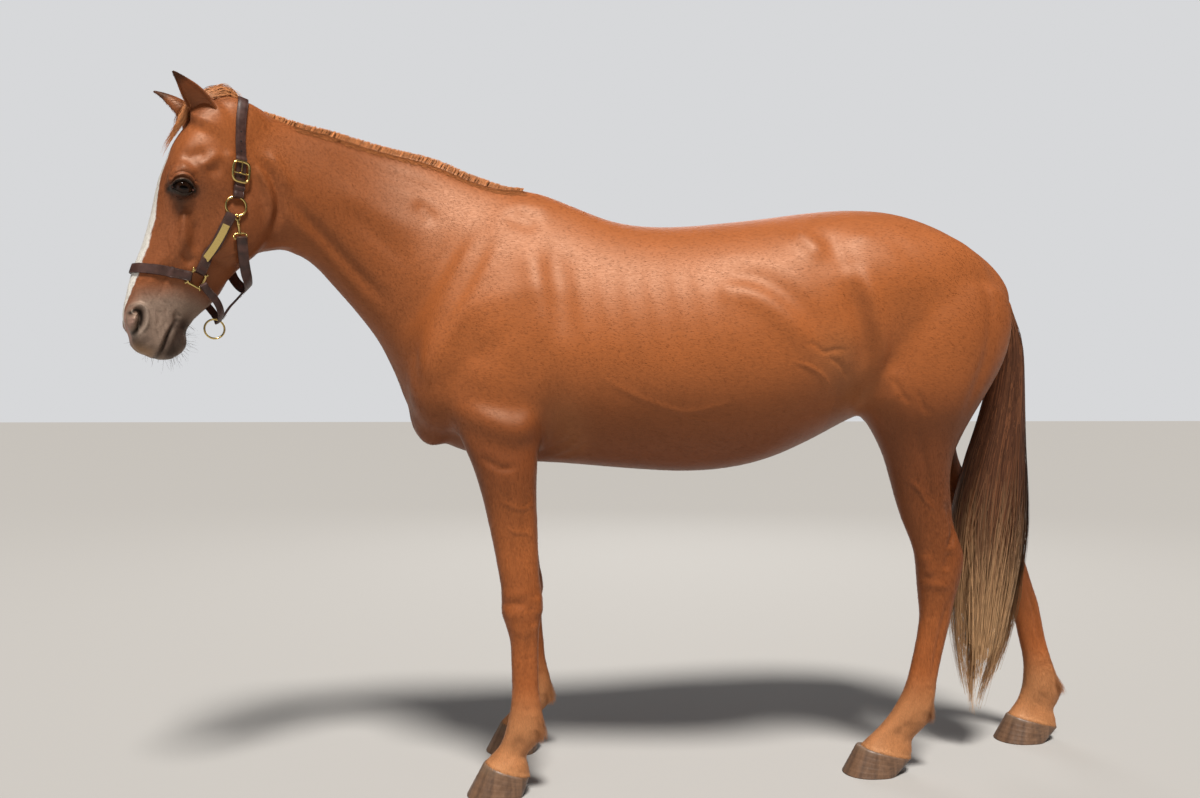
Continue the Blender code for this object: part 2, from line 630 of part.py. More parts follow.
def ear_body(side, grow):
    """An ear: a solid root that opens into a pointed shell, facing forward and outward."""
    root, tip = head_point(*EAR_BASE), head_point(*EAR_TIPS[side])
    root[1], tip[1] = side * root[1], side * tip[1]
    axis = (tip - root) / np.linalg.norm(tip - root)
    facing = np.array([-0.55, side * 0.75, -0.35])
    facing -= axis * (facing @ axis)
    facing /= np.linalg.norm(facing)
    edge = np.cross(axis, facing)
    turn = np.linspace(-math.pi / 2, math.pi / 2, 7)
    rings = []
    for part, width, depth, hollow in EAR_STATIONS:
        hook = EAR_HOOK * max(part - 0.6, 0) ** 2
        middle = root + (tip - root) * part + facing * hook - axis * grow * (part == 0)
        shell = min(EAR_SHELL, 0.6 * width, 0.6 * depth)
        back = [middle + edge * (width + grow) * math.sin(a) - facing * (depth + grow) * math.cos(a)
                for a in turn]
        lip = shell * (1 - hollow) + grow
        front = [middle + edge * (width - shell) * math.sin(a)
                 - facing * ((depth - shell) * math.cos(a) * hollow - lip) for a in turn[::-1]]
        rings.append(np.array(back + front))
    return bend_body(loft(rings))


def bend_body(body):
    """A body of points and faces, with its points bent with the neck."""
    return bend(body[0]), body[1]


def tail_body(grow):
    """The tail, from the dock to the tips of its hair."""
    rings = []
    for height, front, back, width in TAIL_STATIONS:
        half = (back - front) / 2 + grow
        rings.append(oval(((front + back) / 2, 0, height), ALONG, ACROSS, half, half,
                          width + grow, 2.0, 2.0, 14))
    toward_root = rings[0].mean(axis=0) - rings[1].mean(axis=0)
    rings[0] = rings[0] + toward_root / np.linalg.norm(toward_root) * grow
    return loft(rings)


def slab(inner, outer):
    """A closed sheet between two grids of points."""
    rows, columns = inner.shape[:2]
    points = np.vstack([inner.reshape(-1, 3), outer.reshape(-1, 3)])
    count = rows * columns
    faces = []
    for row in range(rows - 1):
        for column in range(columns - 1):
            a = row * columns + column
            b, c, d = a + 1, a + columns + 1, a + columns
            faces.append((a, b, c, d))
            faces.append((a + count, d + count, c + count, b + count))
    rim = list(range(columns))
    rim += [row * columns + columns - 1 for row in range(1, rows)]
    rim += [(rows - 1) * columns + column for column in range(columns - 2, -1, -1)]
    rim += [row * columns for row in range(rows - 2, 0, -1)]
    for here, there in zip(rim, rim[1:] + rim[:1]):
        faces.append((here, here + count, there + count, there))
    return points, faces


def even_steps(path, step):
    """Points at even steps along a smooth curve through the path."""
    curve = refine(path, 12)
    travel = np.append(0, np.cumsum(np.linalg.norm(np.diff(curve, axis=0), axis=1)))
    count = max(int(round(travel[-1] / step)), 2)
    wanted = np.linspace(0, travel[-1], count + 1)
    return np.array([np.interp(wanted, travel, curve[:, k]) for k in range(3)]).T


def on_skin(point, skin):
    """The nearest place on the skin and its outward direction."""
    place, normal, _, _ = skin.find_nearest(Vector(point))
    return np.array(place), np.array(normal)


def strap_grids(path, width, skin, lift, thickness, snug=True, step=STRAP_STEP):
    """The inner and outer grids of a strap that lies on the skin, or hangs free of it."""
    line = even_steps(bend(np.array([head_point(*place) for place in path])), step)
    found = [on_skin(point, skin) for point in line]
    normals = np.array([normal for _, normal in found])
    for _ in range(2):
        normals[1:-1] = (normals[:-2] + normals[1:-1] * 2 + normals[2:]) / 4
    normals /= np.linalg.norm(normals, axis=1)[:, None]
    if snug:
        line = np.array([place for place, _ in found])
    ahead = np.gradient(line, axis=0)
    across = np.cross(ahead, normals)
    across /= np.linalg.norm(across, axis=1)[:, None]
    normals = np.cross(across, ahead)
    normals /= np.linalg.norm(normals, axis=1)[:, None]
    columns = []
    for share in (-0.5, 0.0, 0.5):
        edge = line + across * width * share
        if snug:
            hits = [on_skin(point, skin)[0] for point in edge]
            rise = np.array([max((hit - point) @ normal, -0.002)
                             for hit, point, normal in zip(hits, edge, normals)])
            edge = edge + normals * rise[:, None]
        columns.append(edge)
    inner = np.stack(columns, axis=1) + normals[:, None] * lift
    return inner, inner + normals[:, None] * thickness


def strap_body(*args, **kwargs):
    """A strap as a closed body."""
    return slab(*strap_grids(*args, **kwargs))


def wire_mesh(name, points, radius, closed=True):
    """Round metal wire along a path, as a mesh with closed ends."""
    curve = bpy.data.curves.new(name, "CURVE")
    curve.dimensions = "3D"
    curve.bevel_depth = radius
    curve.bevel_resolution = 1
    curve.use_fill_caps = not closed
    spline = curve.splines.new("POLY")
    spline.points.add(len(points) - 1)
    for knot, place in zip(spline.points, points):
        knot.co = (*place, 1.0)
    spline.use_cyclic_u = closed
    wire = bpy.data.objects.new(name, curve)
    bpy.context.scene.collection.objects.link(wire)
    mesh = evaluated(wire, name)
    body = bmesh.new()
    body.from_mesh(mesh)
    bmesh.ops.remove_doubles(body, verts=body.verts, dist=0.00001)
    bmesh.ops.recalc_face_normals(body, faces=body.faces[:])
    body.to_mesh(mesh)
    body.free()
    return mesh


def hoop(centre, right, up, half_width, half_height, power, count):
    """Points round a ring or a rounded frame."""
    return oval(centre, up, right, half_height, half_height, half_width, power, power, count)


def surface_frame(place, toward, skin, lift):
    """A place above the skin, with directions along the skin towards another place and out."""
    start, normal = on_skin(bend(head_point(*place)), skin)
    aim, _ = on_skin(bend(head_point(*toward)), skin)
    ahead = aim - start
    ahead -= normal * (ahead @ normal)
    ahead /= np.linalg.norm(ahead)
    return start + normal * lift, ahead, np.cross(normal, ahead), normal


def build_body():
    """Head, neck, trunk and legs, parted from one body by thin cuts."""
    body, skin = whole_body()
    legs = {}
    for kind in ("fore", "hind"):
        hoof = FORE_HOOF if kind == "fore" else HIND_HOOF
        table = FORE_SETBACK if kind == "fore" else HIND_SETBACK
        for side, word in ((LEFT, "left"), (RIGHT, "right")):
            name = kind + "leg_" + word
            holder = add_cutter(name + "_holder", [leg_block(kind, side, 0.0)])
            leg = boolean(body.copy(), holder, "INTERSECT")
            toe, heel, _ = coronet(hoof, table, side)
            down = np.cross(heel - toe, ACROSS)
            down *= -np.sign(down[2]) / np.linalg.norm(down)
            legs[name] = keep_side(leg, toe - down * PART_GAP, down)
    for kind in ("fore", "hind"):
        for side, word in ((LEFT, "left"), (RIGHT, "right")):
            cutter = add_cutter(kind + "leg_" + word + "_slot", [leg_block(kind, side, PART_GAP)])
            body = boolean(body, cutter, "DIFFERENCE")
    shoulder_cut, forward = np.array([-0.66, 0, 1.59]), np.array([-0.877, 0, 0.481])
    trunk = keep_side(body, shoulder_cut, forward)
    front = keep_side(body, shoulder_cut + forward * PART_GAP, -forward)
    jaw_cut = bend(np.array([-1.225, 0, 1.36]))
    crest_cut = bend(np.array([-1.278, 0, 1.74]))
    sideways = bend(np.array([-1.225, 1, 1.36])) - jaw_cut
    toward_head = np.cross(sideways, crest_cut - jaw_cut)
    toward_head *= -np.sign(toward_head[0]) / np.linalg.norm(toward_head)
    neck = keep_side(front, jaw_cut, toward_head)
    head = keep_side(front, jaw_cut + toward_head * PART_GAP, -toward_head)
    for side in (LEFT, RIGHT):
        word = "left" if side == LEFT else "right"
        head = boolean(head, add_cutter("ear_slot_" + word, [ear_body(side, SOCKET_GAP)]), "DIFFERENCE")
        place = bend(head_point(*EYE_PLACE) * (1, side, 1))
        socket = egg(place, np.eye(3) * (EYE_RADIUS + PART_GAP), EYE_STEPS)
        head = boolean(head, add_cutter("eye_slot_" + word, [socket]), "DIFFERENCE")
        ball = make_mesh("eye", [egg(place, np.eye(3) * EYE_RADIUS, EYE_STEPS)])
        add_part("eye_" + word, ball, EYE_BROWN, 0.08)
        add_part("ear_" + word, make_mesh("ear", [ear_body(side, 0.0)]), HORSE_COAT, 0.5)
    trunk = boolean(trunk, add_cutter("tail_slot", [tail_body(SOCKET_GAP)]), "DIFFERENCE")
    add_part("head", head, HORSE_COAT, 0.45)
    add_part("neck", neck, HORSE_COAT, 0.45)
    add_part("trunk", trunk, HORSE_COAT, 0.42)
    for name, leg in legs.items():
        add_part(name, leg, HORSE_COAT, 0.45)
    return skin


def build_hooves():
    """Four hooves with flat soles on the floor."""
    for word, side in (("left", LEFT), ("right", RIGHT)):
        fore = hoof_body(FORE_HOOF, FORE_SETBACK, side, FORE_APART)
        hind = hoof_body(HIND_HOOF, HIND_SETBACK, side, HIND_APART)
        add_part("hoof_fore_" + word, make_mesh("hoof", [fore]), HORN, 0.55)
        add_part("hoof_hind_" + word, make_mesh("hoof", [hind]), HORN, 0.55)


def build_hair(skin):
    """Tail, mane and forelock."""
    add_part("tail", make_mesh("tail", [tail_body(0.0)]), HAIR_DARK, 0.6)
    spine = refine(SPINE_STATIONS, 8)
    order = np.argsort(-spine[:, 0])
    inner, outer = [], []
    for reach in np.linspace(MANE_FROM, MANE_TO, MANE_ROWS):
        along = [np.interp(reach, -spine[order, 0], spine[order, k]) for k in range(4)]
        top, low = np.array([along[0], 0, along[1]]), np.array([along[2], 0, along[3]])
        down = (low - top) / np.linalg.norm(low - top)
        jag = 1 - MANE_JAG + MANE_JAG * math.sin(reach * 61.0) * math.sin(reach * 23.0)
        fade = min(1.0, (reach - MANE_TO) / MANE_FADE + 0.25)
        inner_row, outer_row = [], []
        for share in np.linspace(0, 1, 5):
            drop = MANE_START + MANE_LENGTH * share * jag * fade
            start, aim = bend(top + down * drop + ACROSS * 0.4), bend(top + down * drop)
            hit, normal, _, _ = skin.ray_cast(Vector(start), Vector(aim - start).normalized(), 0.6)
            hit, normal = np.array(hit), np.array(normal)
            inner_row.append(hit + normal * MANE_LIFT)
            outer_row.append(hit + normal * (MANE_LIFT + MANE_THICK * (1 - 0.6 * share)))
        inner.append(inner_row)
        outer.append(outer_row)
    mane = slab(np.array(inner), np.array(outer))
    add_part("mane", make_mesh("mane", [mane]), HAIR_TAN, 0.6)
    inner, outer = strap_grids(FORELOCK_PATH, FORELOCK_WIDTH, skin, STRAP_LIFT, FORELOCK_THICK)
    taper = np.linspace(1.0, FORELOCK_TAPER, len(inner))[:, None, None]
    middle_in, middle_out = inner[:, 1:2], outer[:, 1:2]
    inner = middle_in + (inner - middle_in) * taper
    outer = inner + (middle_out - middle_in) * taper
    add_part("forelock", make_mesh("forelock", [slab(inner, outer)]), HAIR_TAN, 0.6)


def build_halter(skin):
    """Straps, rings, buckle, snap and a bare nameplate."""
    def leather(name, path, width, snug=True, both=True, lift=STRAP_LIFT):
        full = [place for place in path]
        if both:
            full += [(down, out, -across) for down, out, across in path[-2::-1]]
        band = strap_body(full, width, skin, lift, STRAP_THICK, snug=snug)
        add_part(name, make_mesh(name, [band]), LEATHER_BROWN, 0.45)

    def metal(name, points, radius, closed=True):
        add_part(name, wire_mesh(name, points, radius, closed), BRASS, 0.25, 1.0)

    def mirrored(path, side):
        return [(down, out, -side * across) for down, out, across in path]

    leather("halter_crown_strap", CROWN_PATH, STRAP_WIDTH, lift=CROWN_LIFT)
    leather("halter_noseband", NOSE_PATH, NOSE_WIDTH)
    leather("halter_throat_strap", THROAT_PATH, STRAP_WIDTH, snug=False)
    leather("halter_jaw_strap", JAW_PATH, JAW_WIDTH, snug=False, both=False)
    above = STRAP_LIFT + STRAP_THICK / 2
    for side, word in ((LEFT, "left"), (RIGHT, "right")):
        cheek = mirrored(CHEEK_PATH, side)
        leather("halter_cheek_strap_" + word, cheek, STRAP_WIDTH, both=False)
        leather("halter_chin_strap_" + word, mirrored(CHIN_PATH, side), CHIN_WIDTH, snug=False,
                both=False)
        centre, ahead, aside, _ = surface_frame(mirrored([RING_PLACE], side)[0], cheek[0], skin, above)
        metal("halter_ring_" + word, hoop(centre, aside, ahead, RING_RADIUS, RING_RADIUS, 2.0, 14),
              RING_WIRE)
        square = mirrored([SQUARE_PLACE], side)[0]
        centre, ahead, aside, _ = surface_frame(square, mirrored(NOSE_PATH, side)[0], skin, above)
        metal("halter_square_" + word, hoop(centre, aside, ahead, SQUARE_HALF, SQUARE_HALF, 4.5, 12),
              RING_WIRE)
    over = CROWN_LIFT + STRAP_THICK + BUCKLE_LIFT
    centre, ahead, aside, _ = surface_frame(BUCKLE_PLACE, CROWN_PATH[0], skin, over)
    metal("halter_buckle", hoop(centre, aside, ahead, *BUCKLE_HALF, 3.5, 12), BUCKLE_WIRE)
    inner, outer = strap_grids(CHEEK_PATH, STRAP_WIDTH, skin, STRAP_LIFT, STRAP_THICK)
    rise = (outer - inner)[1:-1] / STRAP_THICK
    under = outer[1:-1, 1:2] + (outer[1:-1] - outer[1:-1, 1:2]) * PLATE_SHARE + rise * PLATE_LIFT
    plate = slab(under, under + rise * PLATE_THICK)
    add_part("halter_nameplate", make_mesh("plate", [plate]), BRASS, 0.3, 1.0)
    centre = bend(head_point(*LEAD_RING_PLACE))
    forward = bend(head_point(*LEAD_RING_PLACE) - ALONG * 0.01) - centre
    metal("halter_lead_ring", hoop(centre, forward / np.linalg.norm(forward), UP, LEAD_RING_RADIUS,
                                   LEAD_RING_RADIUS, 2.0, 16), LEAD_RING_WIRE)
    start, _, _, _ = surface_frame(SNAP_TOP, SNAP_END, skin, above + SNAP_LIFT)
    end, _, _, _ = surface_frame(SNAP_END, SNAP_TOP, skin, above + SNAP_LIFT)
    metal("halter_snap", [start, (start * 2 + end) / 3, (start + end * 2) / 3, end],
          SNAP_RADIUS, False)


for thing in list(bpy.data.objects):
    bpy.data.objects.remove(thing)
parts = bpy.data.collections.new("horse")
cutters = bpy.data.collections.new("cutters")
bpy.context.scene.collection.children.link(parts)
bpy.context.scene.collection.children.link(cutters)
body_skin = build_body()
build_hooves()
build_hair(body_skin)
build_halter(body_skin)
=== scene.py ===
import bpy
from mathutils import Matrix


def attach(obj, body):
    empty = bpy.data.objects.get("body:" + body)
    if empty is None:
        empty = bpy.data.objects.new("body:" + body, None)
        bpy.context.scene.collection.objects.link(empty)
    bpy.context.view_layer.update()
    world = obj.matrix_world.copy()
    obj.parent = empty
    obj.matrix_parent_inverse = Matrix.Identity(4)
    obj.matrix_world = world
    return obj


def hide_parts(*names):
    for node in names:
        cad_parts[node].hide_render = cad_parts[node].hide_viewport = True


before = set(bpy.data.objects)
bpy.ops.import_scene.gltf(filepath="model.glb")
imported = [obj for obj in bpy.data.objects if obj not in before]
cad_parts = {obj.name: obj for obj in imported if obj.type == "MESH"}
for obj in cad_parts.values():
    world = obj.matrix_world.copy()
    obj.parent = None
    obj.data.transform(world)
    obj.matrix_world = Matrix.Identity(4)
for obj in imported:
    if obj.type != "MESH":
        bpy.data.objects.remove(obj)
"""The looks of a life-size standing horse in a leather halter.

The horse is shaped straight, facing -X, with its left side at -Y and the floor at z = 0, and its
neck is then bent to the left. One skin covers the solids of flesh. Short hair, long hair, eyes,
hooves and the halter are pieces of their own.
"""
import math
from functools import partial

import bmesh
import bpy
import numpy as np
from mathutils import Matrix, Vector
from mathutils.bvhtree import BVHTree

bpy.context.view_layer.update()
LEFT, RIGHT = -1.0, 1.0
SIDES = {"left": LEFT, "right": RIGHT}
STANCE = np.array([-0.279, -0.013, 0.0])     # middle of the horse, which is at the origin
COAT_DEPTH = 0.0015                          # how far the skin lies inside the solids

# The neck bends sideways between two distances ahead of the trunk's own zero.
BEND_START = 0.72
BEND_END = 1.22
BEND_ANGLE = math.radians(26.0)

# The head hangs from the poll: "down" runs to the muzzle and "out" runs to the forehead.
POLL = np.array([-1.37, 0.0, 1.735])
HEAD_TILT = math.radians(14.0)
HEAD_BEHIND = -1.15          # nothing behind this x is told on the head
FUSE_VOXEL = 0.0075          # grid on which the bodies are fused

# Trunk and neck: top x, top z, bottom x, bottom z, half width, widest level, top and bottom power.
SPINE_STATIONS = (
    (-1.400, 1.712, -1.375, 1.440, 0.050, 0.50, 2.0, 2.0),
    (-1.327, 1.736, -1.281, 1.362, 0.074, 0.47, 1.9, 2.0),
    (-1.224, 1.709, -1.224, 1.375, 0.079, 0.46, 1.7, 2.1),
    (-1.109, 1.695, -1.160, 1.352, 0.083, 0.45, 1.6, 2.1),
    (-0.979, 1.670, -1.096, 1.289, 0.090, 0.44, 1.5, 2.2),
    (-0.847, 1.645, -1.031, 1.216, 0.104, 0.42, 1.5, 2.2),
    (-0.740, 1.603, -0.979, 1.146, 0.126, 0.40, 1.5, 2.2),
    (-0.660, 1.580, -0.934, 1.053, 0.155, 0.40, 1.45, 2.2),
    (-0.600, 1.577, -0.900, 0.973, 0.182, 0.41, 1.45, 2.2),
    (-0.537, 1.565, -0.800, 0.878, 0.205, 0.42, 1.5, 2.1),
    (-0.455, 1.533, -0.640, 0.838, 0.222, 0.43, 1.55, 2.0),
    (-0.359, 1.496, -0.480, 0.826, 0.240, 0.44, 1.65, 2.0),
    (-0.270, 1.481, -0.320, 0.812, 0.258, 0.44, 1.75, 2.0),
    (-0.165, 1.481, -0.165, 0.803, 0.278, 0.44, 1.85, 2.0),
    (-0.050, 1.492, -0.040, 0.811, 0.292, 0.45, 1.9, 2.05),
    (0.061, 1.505, 0.070, 0.836, 0.297, 0.46, 1.95, 2.1),
    (0.175, 1.521, 0.180, 0.882, 0.292, 0.49, 2.0, 2.1),
    (0.290, 1.531, 0.290, 0.938, 0.280, 0.53, 2.0, 2.1),
    (0.407, 1.526, 0.400, 0.985, 0.268, 0.56, 1.95, 2.1),
    (0.524, 1.499, 0.510, 1.020, 0.243, 0.56, 1.75, 2.0),
    (0.630, 1.452, 0.610, 1.070, 0.195, 0.54, 1.65, 2.0),
    (0.712, 1.393, 0.690, 1.130, 0.140, 0.54, 1.7, 2.0),
    (0.760, 1.325, 0.745, 1.200, 0.085, 0.55, 2.0, 2.0),
)

# Head: down the head, forehead side, jaw side, half width, widest level, front and back power.
HEAD_STATIONS = (
    (-0.012, 0.015, -0.100, 0.042, 0.50, 2.0, 2.0),
    (0.015, 0.040, -0.125, 0.060, 0.55, 2.2, 2.0),
    (0.060, 0.060, -0.150, 0.070, 0.60, 2.3, 2.0),
    (0.105, 0.080, -0.168, 0.077, 0.64, 2.4, 2.0),
    (0.145, 0.091, -0.180, 0.085, 0.68, 2.6, 1.9),
    (0.190, 0.095, -0.186, 0.091, 0.72, 2.8, 1.8),
    (0.230, 0.099, -0.189, 0.091, 0.72, 2.8, 1.8),
    (0.270, 0.099, -0.188, 0.083, 0.66, 2.5, 1.9),
    (0.310, 0.097, -0.184, 0.077, 0.58, 2.2, 1.9),
    (0.345, 0.096, -0.172, 0.073, 0.56, 2.0, 1.9),
    (0.385, 0.096, -0.148, 0.069, 0.55, 1.9, 1.9),
    (0.425, 0.098, -0.126, 0.063, 0.53, 1.9, 1.9),
    (0.465, 0.102, -0.108, 0.057, 0.52, 1.9, 1.9),
    (0.505, 0.101, -0.086, 0.051, 0.52, 2.0, 1.9),
    (0.545, 0.099, -0.062, 0.048, 0.54, 2.1, 2.0),
    (0.580, 0.095, -0.052, 0.050, 0.55, 2.2, 2.0),
    (0.608, 0.082, -0.053, 0.048, 0.50, 2.2, 2.1),
    (0.634, 0.060, -0.050, 0.042, 0.48, 2.1, 2.1),
    (0.653, 0.036, -0.034, 0.031, 0.50, 2.0, 2.0),
    (0.661, 0.016, -0.012, 0.014, 0.50, 2.0, 2.0),
)

# Left fore leg: height, front x, back x, distance from the middle, half width.
FORE_STATIONS = (
    (1.020, -0.800, -0.560, 0.135, 0.055),
    (0.950, -0.795, -0.540, 0.148, 0.072),
    (0.895, -0.766, -0.545, 0.156, 0.073),
    (0.840, -0.736, -0.560, 0.161, 0.069),
    (0.760, -0.709, -0.563, 0.164, 0.061),
    (0.690, -0.692, -0.562, 0.165, 0.053),
    (0.620, -0.676, -0.560, 0.165, 0.046),
    (0.555, -0.664, -0.557, 0.165, 0.041),
    (0.505, -0.656, -0.551, 0.165, 0.042),
    (0.465, -0.657, -0.549, 0.165, 0.045),
    (0.425, -0.646, -0.556, 0.165, 0.043),
    (0.385, -0.635, -0.559, 0.165, 0.034),
    (0.330, -0.632, -0.559, 0.165, 0.029),
    (0.265, -0.630, -0.558, 0.165, 0.028),
    (0.215, -0.634, -0.551, 0.165, 0.032),
    (0.175, -0.642, -0.546, 0.165, 0.037),
    (0.145, -0.650, -0.550, 0.165, 0.036),
    (0.120, -0.661, -0.567, 0.165, 0.031),
    (0.097, -0.682, -0.590, 0.165, 0.033),
    (0.075, -0.699, -0.586, 0.165, 0.043),
    (0.035, -0.712, -0.580, 0.165, 0.048),
)

# Left hind leg: height, front x, back x, distance from the middle, half width.
HIND_STATIONS = (
    (1.300, 0.350, 0.700, 0.125, 0.115),
    (1.225, 0.315, 0.716, 0.132, 0.128),
    (1.150, 0.300, 0.705, 0.138, 0.129),
    (1.085, 0.290, 0.680, 0.142, 0.122),
    (1.020, 0.284, 0.641, 0.145, 0.116),
    (0.965, 0.298, 0.606, 0.146, 0.105),
    (0.910, 0.330, 0.576, 0.145, 0.083),
    (0.850, 0.358, 0.550, 0.144, 0.069),
    (0.790, 0.376, 0.543, 0.142, 0.059),
    (0.730, 0.393, 0.547, 0.140, 0.051),
    (0.680, 0.410, 0.555, 0.138, 0.045),
    (0.635, 0.430, 0.568, 0.136, 0.040),
    (0.592, 0.446, 0.584, 0.134, 0.039),
    (0.556, 0.453, 0.585, 0.131, 0.042),
    (0.504, 0.458, 0.573, 0.128, 0.043),
    (0.452, 0.464, 0.560, 0.125, 0.039),
    (0.411, 0.466, 0.553, 0.123, 0.034),
    (0.354, 0.458, 0.541, 0.120, 0.029),
    (0.277, 0.442, 0.524, 0.117, 0.028),
    (0.221, 0.427, 0.514, 0.115, 0.032),
    (0.176, 0.404, 0.507, 0.114, 0.037),
    (0.141, 0.379, 0.499, 0.113, 0.037),
    (0.111, 0.349, 0.475, 0.112, 0.032),
    (0.087, 0.322, 0.450, 0.111, 0.033),
    (0.062, 0.303, 0.449, 0.110, 0.043),
    (0.022, 0.283, 0.441, 0.110, 0.048),
)

# How far back the right legs stand: height, distance.
FORE_SETBACK = ((1.1, 0.0), (0.85, 0.0), (0.5, 0.012), (0.15, 0.040), (0.0, 0.045))
HIND_SETBACK = (
    (1.40, 0.0), (1.20, 0.02), (1.00, 0.08), (0.90, 0.12), (0.80, 0.17), (0.70, 0.22),
    (0.60, 0.277), (0.50, 0.335), (0.40, 0.388), (0.30, 0.428), (0.20, 0.474), (0.10, 0.525),
    (0.0, 0.548),
)

LEGS = {"fore": (FORE_STATIONS, FORE_SETBACK), "hind": (HIND_STATIONS, HIND_SETBACK)}

# Muscle masses of one side: centre x, y, z, radii along, across and up, then two leans of its
# upright axis in degrees: towards the head at the bottom, and outward at the bottom.
MUSCLES = {
    "shoulder blade": (-0.715, 0.098, 1.265, 0.110, 0.075, 0.285, 32.0, 15.0),
    "point of shoulder": (-0.812, 0.100, 1.035, 0.100, 0.088, 0.125, 0.0, 0.0),
    "upper arm": (-0.660, 0.115, 1.050, 0.165, 0.098, 0.165, 0.0, 0.0),
    "breast": (-0.838, 0.052, 0.972, 0.066, 0.062, 0.100, 0.0, 0.0),
    "croup": (0.410, 0.110, 1.310, 0.265, 0.142, 0.165, 0.0, 0.0),
    "hip": (0.285, 0.182, 1.400, 0.060, 0.055, 0.045, 0.0, 0.0),
    "buttock": (0.600, 0.090, 1.205, 0.116, 0.100, 0.165, 0.0, 0.0),
}

# Head masses of one side: down, out, across, and their radii.
HEAD_FORMS = {
    "orbit": (0.238, 0.056, 0.076, 0.044, 0.034, 0.027),
    "cheek": (0.285, -0.085, 0.048, 0.115, 0.088, 0.036),
    "facial crest": (0.350, 0.015, 0.052, 0.090, 0.030, 0.026),
    "nostril": (0.580, 0.066, 0.036, 0.038, 0.024, 0.019),
    "upper lip": (0.622, 0.026, 0.016, 0.036, 0.042, 0.034),
    "chin": (0.610, -0.034, 0.010, 0.034, 0.026, 0.030),
}


def unit(ways):
    """Directions brought to a length of one."""
    return ways / np.maximum(np.linalg.norm(ways, axis=-1, keepdims=True), 1e-9)


def mix(first, second, share):
    """What lies between two values: the first at a share of zero, the second at one."""
    return np.asarray(first) * (1 - share) + np.asarray(second) * share


def smooth_step(value, low, high):
    """Zero below one limit, one above the other, and smooth between."""
    part = np.clip((value - low) / (high - low), 0, 1)
    return part * part * (3 - 2 * part)


def refine(stations, steps):
    """Rows read from a smooth curve through the stations, with a number of steps between two."""
    rows = np.array(stations, float)
    ends = np.vstack([2 * rows[0] - rows[1], rows, 2 * rows[-1] - rows[-2]])
    found = []
    for before, here, there, after in zip(ends, ends[1:], ends[2:], ends[3:]):
        for part in np.arange(steps) / steps:
            slope = (there - before) * part
            bow = (2 * before - 5 * here + 4 * there - after) * part ** 2
            twist = (3 * here - 3 * there + after - before) * part ** 3
            found.append(0.5 * (2 * here + slope + bow + twist))
    found.append(rows[-1])
    return np.array(found)


def spine_at(x, steps, columns):
    """Columns of the trunk's and neck's table, read at places x along its tops."""
    spine = refine(SPINE_STATIONS, steps)
    spine = spine[np.argsort(spine[:, 0])]
    return [np.interp(x, spine[:, 0], spine[:, k]) for k in columns]


def lengths_along(line):
    """How far each point of a line is from its start, along it."""
    return np.append(0, np.cumsum(np.linalg.norm(np.diff(line, axis=0), axis=1)))


def oval(centre, up, side, above, below, half_width, power_up, power_down, count=40):
    """A closed ring of points, rounder or squarer above and below its widest level."""
    angle = np.linspace(0, 2 * math.pi, count, endpoint=False)
    rise, spread = np.sin(angle), np.cos(angle)
    power = 2 / np.where(rise > 0, power_up, power_down)
    height = np.sign(rise) * np.abs(rise) ** power * np.where(rise > 0, above, below)
    width = np.sign(spread) * np.abs(spread) ** power * half_width
    return np.asarray(centre) + np.outer(height, up) + np.outer(width, side)


def loft(rings, closed=False):
    """A closed body through a row of rings, as points and faces."""
    count, rows = len(rings[0]), len(rings)
    faces = []
    for row in range(rows if closed else rows - 1):
        for k in range(count):
            near, far = row * count + k, row * count + (k + 1) % count
            up = ((row + 1) % rows - row) * count
            faces.append((near, far, far + up, near + up))
    if not closed:
        faces.append(tuple(range(count))[::-1])
        faces.append(tuple(range((rows - 1) * count, rows * count)))
    return np.vstack(rings), faces


def egg(centre, axes, around=28):
    """A ball stretched along three axes, as points and faces."""
    ball = bmesh.new()
    bmesh.ops.create_uvsphere(ball, u_segments=around, v_segments=around * 5 // 8, radius=1.0)
    points = np.array([vert.co for vert in ball.verts]) @ np.array(axes) + np.array(centre)
    faces = [tuple(vert.index for vert in face.verts) for face in ball.faces]
    ball.free()
    return points, faces


def make_mesh(name, pieces):
    """One mesh from several bodies of points and faces, each with its faces turned outward."""
    points = np.vstack([piece[0] for piece in pieces])
    faces, start = [], 0
    for places, sides in pieces:
        faces += [tuple(k + start for k in side) for side in sides]
        start += len(places)
    mesh = bpy.data.meshes.new(name)
    mesh.from_pydata(points, [], faces)
    body = bmesh.new()
    body.from_mesh(mesh)
    bmesh.ops.recalc_face_normals(body, faces=body.faces[:])
    body.to_mesh(mesh)
    body.free()
    return mesh


def head_point(down, out, across):
    """A place on the head, before the neck is bent."""
    x = POLL[0] - down * math.sin(HEAD_TILT) - out * math.cos(HEAD_TILT)
    z = POLL[2] - down * math.cos(HEAD_TILT) + out * math.sin(HEAD_TILT)
    return np.array([x, across, z])


HEAD_DOWN = head_point(1, 0, 0) - head_point(0, 0, 0)
HEAD_OUT = head_point(0, 1, 0) - head_point(0, 0, 0)
ACROSS = np.array([0.0, 1.0, 0.0])
ALONG = np.array([1.0, 0.0, 0.0])
UP = np.array([0.0, 0.0, 1.0])
HEAD_AXES = np.array([HEAD_DOWN, HEAD_OUT, ACROSS])


def from_head(head):
    """Places told as down, out and across the head, before the neck is bent."""
    return POLL + head @ HEAD_AXES


